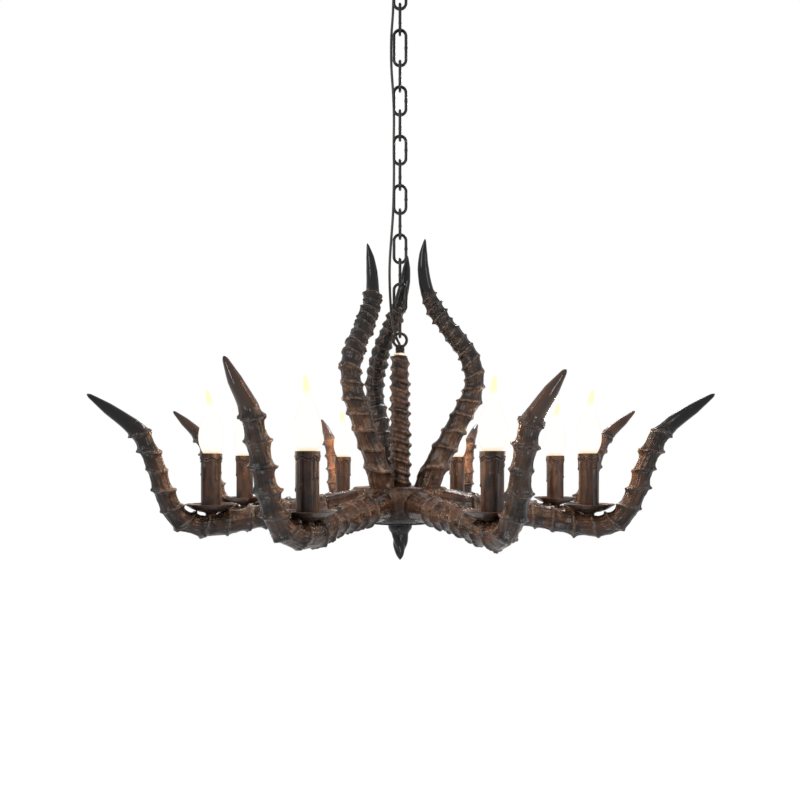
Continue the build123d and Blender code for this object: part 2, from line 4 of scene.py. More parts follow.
import bmesh
import bpy
from mathutils import Matrix, Vector, noise

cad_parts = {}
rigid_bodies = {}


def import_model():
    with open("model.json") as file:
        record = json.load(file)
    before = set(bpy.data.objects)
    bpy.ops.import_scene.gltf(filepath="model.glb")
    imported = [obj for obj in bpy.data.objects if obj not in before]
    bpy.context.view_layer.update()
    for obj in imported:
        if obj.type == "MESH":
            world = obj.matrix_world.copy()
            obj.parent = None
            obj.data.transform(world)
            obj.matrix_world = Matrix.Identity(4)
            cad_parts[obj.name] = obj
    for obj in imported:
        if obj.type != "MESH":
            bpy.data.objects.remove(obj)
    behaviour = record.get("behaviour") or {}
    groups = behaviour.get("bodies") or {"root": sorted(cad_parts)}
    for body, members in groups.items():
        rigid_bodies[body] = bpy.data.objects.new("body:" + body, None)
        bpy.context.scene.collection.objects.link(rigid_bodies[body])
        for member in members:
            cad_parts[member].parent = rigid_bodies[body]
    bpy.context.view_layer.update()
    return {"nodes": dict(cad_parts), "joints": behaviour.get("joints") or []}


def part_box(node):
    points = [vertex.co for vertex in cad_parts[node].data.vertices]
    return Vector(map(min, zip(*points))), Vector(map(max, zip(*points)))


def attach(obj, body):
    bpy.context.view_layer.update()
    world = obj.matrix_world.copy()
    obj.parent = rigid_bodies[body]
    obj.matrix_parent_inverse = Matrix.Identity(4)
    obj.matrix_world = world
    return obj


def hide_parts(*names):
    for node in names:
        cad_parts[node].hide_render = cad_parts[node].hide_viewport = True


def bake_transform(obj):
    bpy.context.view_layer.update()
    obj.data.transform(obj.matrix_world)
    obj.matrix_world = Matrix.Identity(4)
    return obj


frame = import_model()
cadNodes = frame["nodes"]
print("frame loaded:", len(cadNodes), "nodes")

# Places read from the frame
hubLow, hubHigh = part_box("hub")
columnLow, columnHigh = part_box("column")
panLow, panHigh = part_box("drip_pans")
sleeveLow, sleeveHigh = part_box("candle_sleeve_1")
hornAxis = hubHigh.z - 0.026  # the height at which the horns leave the hub
boreRadius = 0.0052  # clears the threaded tube and the nipples
lampCount = 8
candlePlaces = []
for number in range(1, lampCount + 1):
    low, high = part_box(f"candle_sleeve_{number}")
    middle = (low + high) / 2
    candlePlaces.append((atan2(middle.y, middle.x), Vector((middle.x, middle.y, 0))))
candleRadius = sum(place.length for angle, place in candlePlaces) / lampCount
print("candle circle radius", round(candleRadius, 4))

# Camera at the photograph's place: level, with the horizon below the middle of the frame
view = {"focalPixels": 722, "framePixels": 800, "horizonPixel": 466, "distance": 1.108, "eyeHeight": -0.8}
camera = bpy.data.objects.new("camera", bpy.data.cameras.new("camera"))
bpy.context.collection.objects.link(camera)
camera.data.sensor_width = 36
camera.data.lens = 36 * view["focalPixels"] / view["framePixels"]
camera.data.shift_y = view["horizonPixel"] / view["framePixels"] - 0.5
camera.data.clip_start = 0.02
camera.location = (0, -view["distance"], view["eyeHeight"])
camera.rotation_euler = (pi / 2, 0, 0)
bpy.context.scene.camera = camera
bpy.context.scene.view_settings.view_transform = "Standard"


# Node helpers, for materials and for geometry alike

def addNode(tree, kind, inputs=None, **settings):
    node = tree.nodes.new(kind)
    for key, value in settings.items():
        setattr(node, key, value)
    for key, value in (inputs or {}).items():
        if isinstance(value, bpy.types.NodeSocket):
            tree.links.new(value, node.inputs[key])
        else:
            node.inputs[key].default_value = value
    return node


def treeOf(values):
    # Every socket knows the tree that it is in
    return next(value.id_data for value in values if isinstance(value, bpy.types.NodeSocket))


def calc(operation, *values):
    inputs = dict(enumerate(values))
    return addNode(treeOf(values), "ShaderNodeMath", inputs, operation=operation).outputs[0]


def times(a, b):
    return calc("MULTIPLY", a, b)


def plus(a, b):
    return calc("ADD", a, b)


def minus(a, b):
    return calc("SUBTRACT", a, b)


def vectorCalc(operation, *values):
    inputs = dict(enumerate(values))
    node = addNode(treeOf(values), "ShaderNodeVectorMath", inputs, operation=operation)
    return node.outputs["Value" if operation in ("DOT_PRODUCT", "LENGTH") else "Vector"]


def scaledVector(vector, length):
    inputs = {0: vector, "Scale": length}
    return addNode(vector.id_data, "ShaderNodeVectorMath", inputs, operation="SCALE").outputs[0]


def fromParts(x, y, z):
    inputs = {"X": x, "Y": y, "Z": z}
    return addNode(treeOf((x, y, z)), "ShaderNodeCombineXYZ", inputs).outputs[0]


def smoothRange(value, low, high, toLow=0.0, toHigh=1.0):
    inputs = {"Value": value, "From Min": low, "From Max": high, "To Min": toLow, "To Max": toHigh}
    node = addNode(value.id_data, "ShaderNodeMapRange", inputs, interpolation_type="SMOOTHSTEP")
    return node.outputs["Result"]


def seededNoise(point, seed, scale, detail=2.0):
    inputs = {"Vector": point, "W": seed, "Scale": scale, "Detail": detail}
    node = addNode(point.id_data, "ShaderNodeTexNoise", inputs, noise_dimensions="4D")
    return node.outputs["Fac"]


# Materials

def newMaterial(name):
    material = bpy.data.materials.new(name)
    material.use_nodes = True
    tree = material.node_tree
    return material, tree, tree.nodes["Principled BSDF"]


def objectPoint(tree, stretch=(1, 1, 1)):
    coordinates = addNode(tree, "ShaderNodeTexCoord").outputs["Object"]
    return addNode(tree, "ShaderNodeMapping", {"Vector": coordinates, "Scale": stretch}).outputs["Vector"]


def noiseAt(point, scale, detail=4.0, roughness=0.55):
    inputs = {"Vector": point, "Scale": scale, "Detail": detail, "Roughness": roughness}
    return addNode(point.id_data, "ShaderNodeTexNoise", inputs).outputs["Fac"]


def blendColour(share, colourA, colourB):
    colours = {6: colourA, 7: colourB}
    for index, colour in colours.items():
        if not isinstance(colour, bpy.types.NodeSocket):
            colours[index] = (*colour, 1)
    inputs = {"Factor": share, **colours}
    return addNode(share.id_data, "ShaderNodeMix", inputs, data_type="RGBA").outputs[2]


def mottledGloss(point, scale, roughness):
    return smoothRange(noiseAt(point, scale), 0.3, 0.7, *roughness)


def finishShader(shader, colour, gloss, specular, metallic=0.0):
    colour.id_data.links.new(colour, shader.inputs["Base Color"])
    gloss.id_data.links.new(gloss, shader.inputs["Roughness"])
    shader.inputs["Specular IOR Level"].default_value = specular
    shader.inputs["Metallic"].default_value = metallic


def addBump(shader, height, strength, distance):
    inputs = {"Height": height, "Strength": strength, "Distance": distance}
    bump = addNode(height.id_data, "ShaderNodeBump", inputs)
    height.id_data.links.new(bump.outputs["Normal"], shader.inputs["Normal"])


hornLook = {
    "black": (0.006, 0.005, 0.0045),
    "brown": (0.030, 0.018, 0.013),
    # the horn's brown with painted warm bulb glow on it
    "warm": (0.090, 0.050, 0.032),
    # rust patina, which in the hollows also stands in for warm bulb light
    "rust": (0.070, 0.037, 0.023),
    "tipBlack": (0.0055, 0.0055, 0.006),
    # the brown of a tip with painted bulb glow on it
    "tipGlowBrown": (0.075, 0.040, 0.027),
    # a painted highlight on the horn's crests
    "wearAndSheen": (0.110, 0.086, 0.076),
    "fibreScale": 520,
    "patchScale": 42,
    "rustScale": 23,
    "sheenBreakupScale": 160,
    "tipScale": 14,
    "roughness": (0.14, 0.32),
    "specular": 0.24,
    "bump": (0.6, 0.0007),
}


def hornMaterial():
    look = hornLook
    material, tree, shader = newMaterial("hornResin")
    point = objectPoint(tree)

    def stored(name, output="Fac"):
        return addNode(tree, "ShaderNodeAttribute", attribute_name=name).outputs[output]

    crest, tip, soot, warmth = (stored(name) for name in ("crest", "smoothTip", "soot", "warmth"))
    fibres = noiseAt(stored("grain", "Vector"), look["fibreScale"], 3)

    # Black and brown patches under dark fibres, with less brown where the horn darkens toward its tip; the
    # brown is warmed by painted bulb glow over the horn's own tone
    bare = minus(1.0, times(soot, 0.9))
    patches = smoothRange(noiseAt(point, look["patchScale"]), 0.34, 0.6)
    colour = blendColour(warmth, look["brown"], look["warm"])
    colour = blendColour(times(patches, bare), look["black"], colour)
    colour = blendColour(smoothRange(fibres, 0.36, 0.6, 0.5, 0.0), colour, look["black"])

    # Rust patina in the hollows, warmed there by painted bulb glow, and a painted highlight on the crests
    rusty = times(smoothRange(crest, 0.04, 0.4, 1, 0), smoothRange(fibres, 0.5, 0.68))
    spots = smoothRange(noiseAt(point, look["rustScale"]), 0.42, 0.6)
    rusty = times(times(rusty, spots), bare)
    colour = blendColour(rusty, colour, look["rust"])
    # A painted highlight on the crests, broken up by noise
    sheenBreakup = smoothRange(noiseAt(point, look["sheenBreakupScale"]), 0.38, 0.6)
    wearAndSheen = times(smoothRange(crest, 0.6, 0.95), sheenBreakup)
    colour = blendColour(times(wearAndSheen, 0.5), colour, look["wearAndSheen"])

    # Smooth tips: brown with painted bulb glow on a horn with much tone and glow, black on a horn that
    # darkens toward its tip
    tipGlowShare = times(smoothRange(warmth, 0.4, 0.85), minus(1.0, soot))
    tipPatches = smoothRange(noiseAt(point, look["tipScale"], 2), 0.36, 0.56, 0.3, 1.0)
    tipColour = times(tipPatches, tipGlowShare)
    tipColour = blendColour(tipColour, look["tipBlack"], look["tipGlowBrown"])
    colour = blendColour(tip, colour, tipColour)

    gloss = minus(mottledGloss(point, 90, look["roughness"]), times(tip, 0.1))
    finishShader(shader, colour, gloss, look["specular"])
    relief = plus(fibres, times(noiseAt(point, 210, 2), 0.8))
    relief = times(relief, smoothRange(tip, 0, 1, 1, 0.03))
    addBump(shader, relief, *look["bump"])
    return material


hubLook = {
    "dark": (0.009, 0.006, 0.005),
    "brown": (0.022, 0.013, 0.009),
    "rust": (0.085, 0.042, 0.022),
    "streakScale": 210,
    "streakStretch": (1, 1, 0.08),
    "roughness": (0.28, 0.5),
    "specular": 0.18,
    "bump": (1.0, 0.0025),
}


def hubMaterial():
    look = hubLook
    material, tree, shader = newMaterial("hubResin")
    point = objectPoint(tree)
    streaks = noiseAt(objectPoint(tree, look["streakStretch"]), look["streakScale"], 3)
    patches = smoothRange(noiseAt(point, 38), 0.36, 0.62)
    colour = blendColour(patches, look["dark"], look["brown"])
    spots = smoothRange(noiseAt(point, 21), 0.4, 0.62)
    rusty = times(smoothRange(streaks, 0.52, 0.7), spots)
    colour = blendColour(rusty, colour, look["rust"])
    grooves = smoothRange(streaks, 0.4, 0.54, 0.9, 0.0)
    colour = blendColour(grooves, colour, look["dark"])
    finishShader(shader, colour, mottledGloss(point, 120, look["roughness"]), look["specular"])
    addBump(shader, streaks, *look["bump"])
    return material


ironLook = {
    "black": (0.006, 0.0055, 0.005),
    "wearAndSheen": (0.045, 0.038, 0.033),
    "roughness": (0.25, 0.45),
    "specular": 0.35,
    "metallic": 0.3,
    "bump": (0.35, 0.0003),
}


def ironMaterial():
    look = ironLook
    material, tree, shader = newMaterial("blackIron")
    point = objectPoint(tree)
    wearAndSheen = smoothRange(noiseAt(point, 230, 5), 0.56, 0.72)
    colour = blendColour(wearAndSheen, look["black"], look["wearAndSheen"])
    gloss = mottledGloss(point, 170, look["roughness"])
    finishShader(shader, colour, gloss, look["specular"], look["metallic"])
    addBump(shader, noiseAt(point, 700, 3), *look["bump"])
    return material


bronzeLook = {
    "dark": (0.014, 0.0085, 0.0065),
    "warm": (0.052, 0.024, 0.014),
    # a painted highlight on sharp edges
    "edge": (0.17, 0.10, 0.07),
    "stretch": (1, 1, 0.35),
    "roughness": (0.26, 0.4),
    "specular": 0.3,
    "metallic": 0.15,
    "bump": (0.3, 0.0004),
}


def bronzeMaterial():
    look = bronzeLook
    material, tree, shader = newMaterial("bronzePaint")
    point = objectPoint(tree, look["stretch"])
    patches = smoothRange(noiseAt(point, 120, 5), 0.38, 0.66)
    colour = blendColour(patches, look["dark"], look["warm"])
    # Lighter on sharp edges and crests: a painted highlight
    edgeHighlight = addNode(tree, "ShaderNodeNewGeometry").outputs["Pointiness"]
    edgeHighlight = times(smoothRange(edgeHighlight, 0.52, 0.6), 0.8)
    colour = blendColour(edgeHighlight, colour, look["edge"])
    gloss = mottledGloss(point, 200, look["roughness"])
    finishShader(shader, colour, gloss, look["specular"], look["metallic"])
    addBump(shader, noiseAt(point, 450, 4), *look["bump"])
    return material


bulbLook = {
    "body": (1.0, 1.0, 0.98),
    "rim": (1.0, 0.76, 0.58),
    "tip": (1.0, 1.0, 0.62),
    "neck": (1.0, 0.74, 0.36),
    "unlit": (0.02, 0.018, 0.012),
    "neckFade": (-0.002, 0.006),
    "tipFade": (-0.024, -0.015),
    "rimFade": (0.6, 0.92),
}


def bulbMaterial():
    # Lit glass: warm at the neck, nearly white in the body, pale yellow in the tip
    look = bulbLook
    material, tree, shader = newMaterial("litGlass")
    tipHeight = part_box("bulb_1")[1].z
    height = addNode(tree, "ShaderNodeSeparateXYZ", {0: objectPoint(tree)}).outputs["Z"]
    neckShare = smoothRange(height, *(sleeveHigh.z + fade for fade in look["neckFade"]))
    tipShare = smoothRange(height, *(tipHeight + fade for fade in look["tipFade"]))
    frosting = smoothRange(noiseAt(objectPoint(tree), 900, 3), 0.3, 0.7, 0.97, 1.0)
    facing = addNode(tree, "ShaderNodeLayerWeight", {"Blend": 0.5}).outputs["Facing"]
    colour = blendColour(smoothRange(facing, *look["rimFade"]), look["body"], look["rim"])
    colour = blendColour(neckShare, look["neck"], colour)
    colour = blendColour(tipShare, colour, look["tip"])
    tree.links.new(colour, shader.inputs["Emission Color"])
    tree.links.new(frosting, shader.inputs["Emission Strength"])
    shader.inputs["Base Color"].default_value = (*look["unlit"], 1)
    shader.inputs["Roughness"].default_value = 0.5
    shader.inputs["Specular IOR Level"].default_value = 0.05
    return material


# Plain finishes: two colours, roughness from and to, metallic, speckle scale, specular
speckledLooks = {
    "darkResin": ((0.006, 0.005, 0.005), (0.014, 0.010, 0.009), (0.12, 0.24), 0.0, 120, 0.22),
    "zincSteel": ((0.42, 0.42, 0.40), (0.6, 0.6, 0.57), (0.28, 0.42), 0.9, 260, 0.5),
    "capMetal": ((0.62, 0.6, 0.55), (0.75, 0.72, 0.66), (0.2, 0.3), 0.95, 260, 0.5),
    "holderPlastic": ((0.78, 0.75, 0.68), (0.85, 0.82, 0.76), (0.42, 0.55), 0.0, 260, 0.5),
    "cordSheath": ((0.011, 0.010, 0.010), (0.026, 0.023, 0.021), (0.38, 0.52), 0.0, 500, 0.5),
    "paleWasher": ((0.68, 0.67, 0.63), (0.8, 0.79, 0.75), (0.35, 0.5), 0.0, 260, 0.5),
}


def speckledMaterial(name, colourA, colourB, roughness, metallic, scale, specular):
    material, tree, shader = newMaterial(name)
    point = objectPoint(tree)
    mottle = smoothRange(noiseAt(point, scale, 4), 0.35, 0.65)
    colour = blendColour(mottle, colourA, colourB)
    gloss = mottledGloss(point, scale * 0.7, roughness)
    finishShader(shader, colour, gloss, specular, metallic)
    addBump(shader, noiseAt(point, scale * 3, 3), 0.2, 0.0003)
    return material


finishes = {
    "hornResin": hornMaterial(),
    "hubResin": hubMaterial(),
    "blackIron": ironMaterial(),
    "bronzePaint": bronzeMaterial(),
    "litGlass": bulbMaterial(),
}
for name, look in speckledLooks.items():
    finishes[name] = speckledMaterial(name, *look)
print("materials made")


# Mesh helpers

def addPiece(name, mesh, body=None, node=None):
    piece = bpy.data.objects.new(name, mesh)
    bpy.context.collection.objects.link(piece)
    piece.shadow_terminator_geometry_offset = 0.2
    piece.shadow_terminator_normal_offset = 0.0004
    if body:
        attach(piece, body)
    if node:
        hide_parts(node)
    return piece


def makeMesh(name, points, faces, material, sharpAngle=40):
    mesh = bpy.data.meshes.new(name)
    mesh.from_pydata(points, [], faces)
    work = bmesh.new()
    work.from_mesh(mesh)
    bmesh.ops.recalc_face_normals(work, faces=work.faces)
    work.to_mesh(mesh)
    work.free()
    mesh.materials.append(material)
    for polygon in mesh.polygons:
        polygon.use_smooth = True
    mesh.set_sharp_from_angle(angle=radians(sharpAngle))
    return mesh


def addShape(name, shape, finish, node=None, body="fixture", sharpAngle=40):
    return addPiece(name, makeMesh(name, *shape, finishes[finish], sharpAngle), body, node)


def softened(corners, radius, steps=4):
    # Rounds the inner corners of an open outline of (radius, height)
    outline = [corners[0]]
    for before, here, after in zip(corners, corners[1:], corners[2:]):
        before, here, after = Vector(before), Vector(here), Vector(after)
        cut = min(radius, 0.45 * (before - here).length, 0.45 * (after - here).length)
        start = here + (before - here).normalized() * cut
        end = here + (after - here).normalized() * cut
        for step in range(steps + 1):
            share = step / steps
            curved = (1 - share) ** 2 * start + 2 * share * (1 - share) * here + share**2 * end
            outline.append(tuple(curved))
    return outline + [corners[-1]]


def latheShape(outline, sides, relief=None):
    # Turns an outline of (radius, height) round Z. Ends on the axis become poles,
    # and an outline with neither end there is closed on itself.
    points, rows = [], []
    for radius, height in outline:
        if radius == 0:
            rows.append([len(points)] * sides)
            points.append((0, 0, height))
            continue
        rows.append(range(len(points), len(points) + sides))
        for step in range(sides):
            angle = tau * step / sides
            here = radius + (relief(angle, radius, height) if relief else 0)
            points.append((here * cos(angle), here * sin(angle), height))
    if outline[0][0] > 0 and outline[-1][0] > 0:
        rows.append(rows[0])
    faces = []
    for rowA, rowB in zip(rows, rows[1:]):
        for side in range(sides):
            after = (side + 1) % sides
            face = (rowA[side], rowA[after], rowB[after], rowB[side])
            faces.append(tuple(dict.fromkeys(face)))
    return points, faces


def moved(shape, matrix):
    points, faces = shape
    return [matrix @ Vector(point) for point in points], faces


def merged(shapes):
    points, faces = [], []
    for shapePoints, shapeFaces in shapes:
        first = len(points)
        points += shapePoints
        faces += [tuple(index + first for index in face) for face in shapeFaces]
    return points, faces


def candleMatrix(number):
    angle, place = candlePlaces[number]
    return Matrix.Translation(place) @ Matrix.Rotation(angle, 4, "Z")


# Supply cord: one smooth line, cut in stretches at the hinges of the chain
cordRoute = (
    (0, 0, -0.038), (0, 0, -0.046), (-0.0045, 0.0025, -0.0515), (-0.009, 0.0055, -0.0605),
    (-0.0102, 0.006, -0.077), (-0.0108, 0.006, -0.103), (-0.0138, 0.0066, -0.138), (-0.0136, 0.006, -0.186),
    (-0.0104, 0.0055, -0.225), (-0.0091, 0.0056, -0.263), (-0.0098, 0.006, -0.301),
    (-0.0092, 0.0055, -0.339), (-0.0096, 0.0058, -0.377), (-0.0108, 0.0057, -0.415),
    (-0.0138, 0.0064, -0.453), (-0.0164, 0.007, -0.491), (-0.0158, 0.0075, -0.529),
    (-0.0138, 0.0074, -0.564), (-0.0104, 0.0074, -0.585), (-0.0069, 0.0066, -0.598),
    (-0.0036, 0.0036, -0.6075), (0, 0, -0.614), (0, 0, -0.6225),
)
cordSize = {"radius": 0.002, "sides": 14, "bend": 0.011, "lapped": (3, 13)}


def splineLine(route, resolution=16):
    # The points of a smooth NURBS line through a route
    curve = bpy.data.curves.new("routeLine", "CURVE")
    curve.dimensions = "3D"
    curve.resolution_u = resolution
    spline = curve.splines.new("NURBS")
    spline.points.add(len(route) - 1)
    for point, place in zip(spline.points, route):
        point.co = (*place, 1)
    spline.order_u = 3
    spline.use_endpoint_u = True
    holder = bpy.data.objects.new("routeLine", curve)
    bpy.context.collection.objects.link(holder)
    bpy.context.view_layer.update()
    line = bpy.data.meshes.new_from_object(holder.evaluated_get(bpy.context.evaluated_depsgraph_get()))
    points = [vertex.co.copy() for vertex in line.vertices]
    bpy.data.objects.remove(holder)
    return points


def ringsAlong(line, radius, sides):
    # Rings square to a line, turned as little as possible from one to the next
    rings, side = [], None
    for index, point in enumerate(line):
        forward = (line[min(index + 1, len(line) - 1)] - line[max(index - 1, 0)]).normalized()
        side = forward.orthogonal() if side is None else side - side.dot(forward) * forward
        side.normalize()
        across = forward.cross(side)
        angles = [tau * step / sides for step in range(sides)]
        rings.append([point + radius * (cos(angle) * side + sin(angle) * across) for angle in angles])
    return rings


def tubeShape(rings):
    sides = len(rings[0])
    points = [point for ring in rings for point in ring]
    faces = [tuple(reversed(range(sides))), tuple(range(len(points) - sides, len(points)))]
    for row in range(len(rings) - 1):
        for side in range(sides):
            after = (side + 1) % sides
            low, high = row * sides, (row + 1) * sides
            faces.append((low + side, low + after, high + after, high + side))
    return points, faces


def lineLength(line):
    return sum((after - before).length for before, after in zip(line, line[1:]))


cordLine = splineLine(cordRoute)
cordRings = ringsAlong(cordLine, cordSize["radius"], cordSize["sides"])
chainJoints = [joint for joint in frame["joints"] if joint["name"].startswith("chain_swing")]
hingeHeights = [joint["pos_m"][2] for joint in chainJoints]


def lineIndex(height):
    return min(range(len(cordLine)), key=lambda index: abs(cordLine[index].z - height))


# Each stretch lies round its own hinge, and ends half way to the next.
# At the lapped hinges the stretches above and below overlap.
lapped = cordSize["lapped"]
for number, joint in enumerate(chainJoints, 1):
    if number in lapped:
        continue
    here = hingeHeights[number - 1]
    first, last = 0, len(cordLine) - 1
    if number > 1:
        above = hingeHeights[number - 2]
        first = lineIndex(above) - 1 if number - 1 in lapped else lineIndex((above + here) / 2)
    if number < len(chainJoints):
        below = hingeHeights[number]
        last = lineIndex(below) if number + 1 in lapped else lineIndex((here + below) / 2)
    shape = tubeShape(cordRings[first:last + 1])
    piece = addShape(f"supplyCord{number:02d}", shape, "cordSheath", "supply_cord", None)
    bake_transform(piece)
stretches = len(chainJoints) - len(lapped)
print("supply cord:", stretches, "stretches,", round(lineLength(cordLine), 4), "m")


# Ridged horns: a geometry node tree sweeps the centre line and raises the ridges on it

hornInputs = {
    "Rings": 440,
    "Sides": 88,
    "Ridge Count": 14.0,
    "Ridge Height": 0.0040,
    "Ridge Start": 0.12,
    "Ridge End": 0.86,
    "Ridge Tilt": 0.2,
    "Ridge Wander": 0.7,
    "Ridge Crowding": 1.0,
    "Tilt Side": (-0.6, 0.3, 0.75),
    "Fibre Depth": 0.0011,
    "Lump Depth": 0.0030,
    "Wrinkle Depth": 0.0022,
    "Tip Rounding": 0.012,
    "Seat Distance": 9.0,
    "Seat Height": 9.0,
    "Darkening Start": 0.62,
    "Darkening End": 0.86,
    # how much painted warm bulb glow, over the horn's own tone, a horn gets
    "Tone And Glow": 0.4,
    "Seed": 1.0,
    "Material": None,
}
# One ridge from its foot to the next one's, as (share of the pitch, height)
thinCrest = (
    (0.0, 0.0), (0.14, 0.04), (0.28, 0.15), (0.38, 0.32), (0.45, 0.62), (0.5, 0.97), (0.54, 1.0),
    (0.58, 0.76), (0.64, 0.40), (0.74, 0.18), (0.86, 0.05), (1.0, 0.0),
)
swollenRib = (
    (0.0, 0.04), (0.2, 0.08), (0.38, 0.3), (0.48, 0.72), (0.55, 1.0), (0.62, 0.92), (0.72, 0.5),
    (0.86, 0.16), (1.0, 0.04),
)
roundRib = (
    (0.0, 0.2), (0.1, 0.24), (0.24, 0.46), (0.38, 0.86), (0.47, 1.0), (0.56, 0.96), (0.68, 0.62),
    (0.82, 0.32), (1.0, 0.2),
)
hornDetail = {
    "seedStep": 7.31,
    "wanderAlong": 9.0,
    "wanderAround": 0.35,
    "ridgeHeights": (0.5, 0.72),  # how much a ridge's own height varies, and its least height
    "knobs": (2.2, -0.1),
    "knobScale": 2.2,
    "knobSpread": 1.3,
    "fibreScale": 330.0,
    "fibreAround": 0.016,
    "fibreAlong": 0.07,
    "lumpScale": 30.0,
    "wrinkleScale": 130.0,
    "seatRadius": 0.0095,
    "seatSlope": 2.5,
}


socketKinds = {
    int: "NodeSocketInt",
    float: "NodeSocketFloat",
    tuple: "NodeSocketVector",
    type(None): "NodeSocketMaterial",
}


def startTree(name, inputs):
    # Makes a tree whose inputs have the kind of their usual value
    tree = bpy.data.node_groups.new(name, "GeometryNodeTree")
    tree.interface.new_socket("Geometry", in_out="INPUT", socket_type="NodeSocketGeometry")
    for label, default in inputs.items():
        kind = socketKinds[type(default)]
        socket = tree.interface.new_socket(label, in_out="INPUT", socket_type=kind)
        if default is not None:
            socket.default_value = default
    tree.interface.new_socket("Geometry", in_out="OUTPUT", socket_type="NodeSocketGeometry")
    return tree, tree.nodes.new("NodeGroupInput").outputs


def endTree(tree, body, material, spares):
    # Shades the body smooth, drops the values that only the tree needs, and sets the material
    body = addNode(tree, "GeometryNodeSetShadeSmooth", {"Geometry": body}).outputs[0]
    for spare in spares:
        spent = {"Geometry": body, "Name": spare}
        body = addNode(tree, "GeometryNodeRemoveAttribute", spent).outputs[0]
    body = addNode(tree, "GeometryNodeRealizeInstances", {"Geometry": body}).outputs[0]
    dressed = {"Geometry": body, "Material": material}
    dressed = addNode(tree, "GeometryNodeSetMaterial", dressed).outputs[0]
    addNode(tree, "NodeGroupOutput", {0: dressed})
    return tree


def storeValue(geometry, name, value):
    inputs = {"Geometry": geometry, "Name": name, "Value": value}
    settings = {"data_type": "FLOAT_VECTOR" if value.type == "VECTOR" else "FLOAT", "domain": "POINT"}
    node = addNode(geometry.id_data, "GeometryNodeStoreNamedAttribute", inputs, **settings)
    return node.outputs["Geometry"]


def readValue(tree, name, kind="FLOAT"):
    node = addNode(tree, "GeometryNodeInputNamedAttribute", {"Name": name}, data_type=kind)
    return node.outputs["Attribute"]


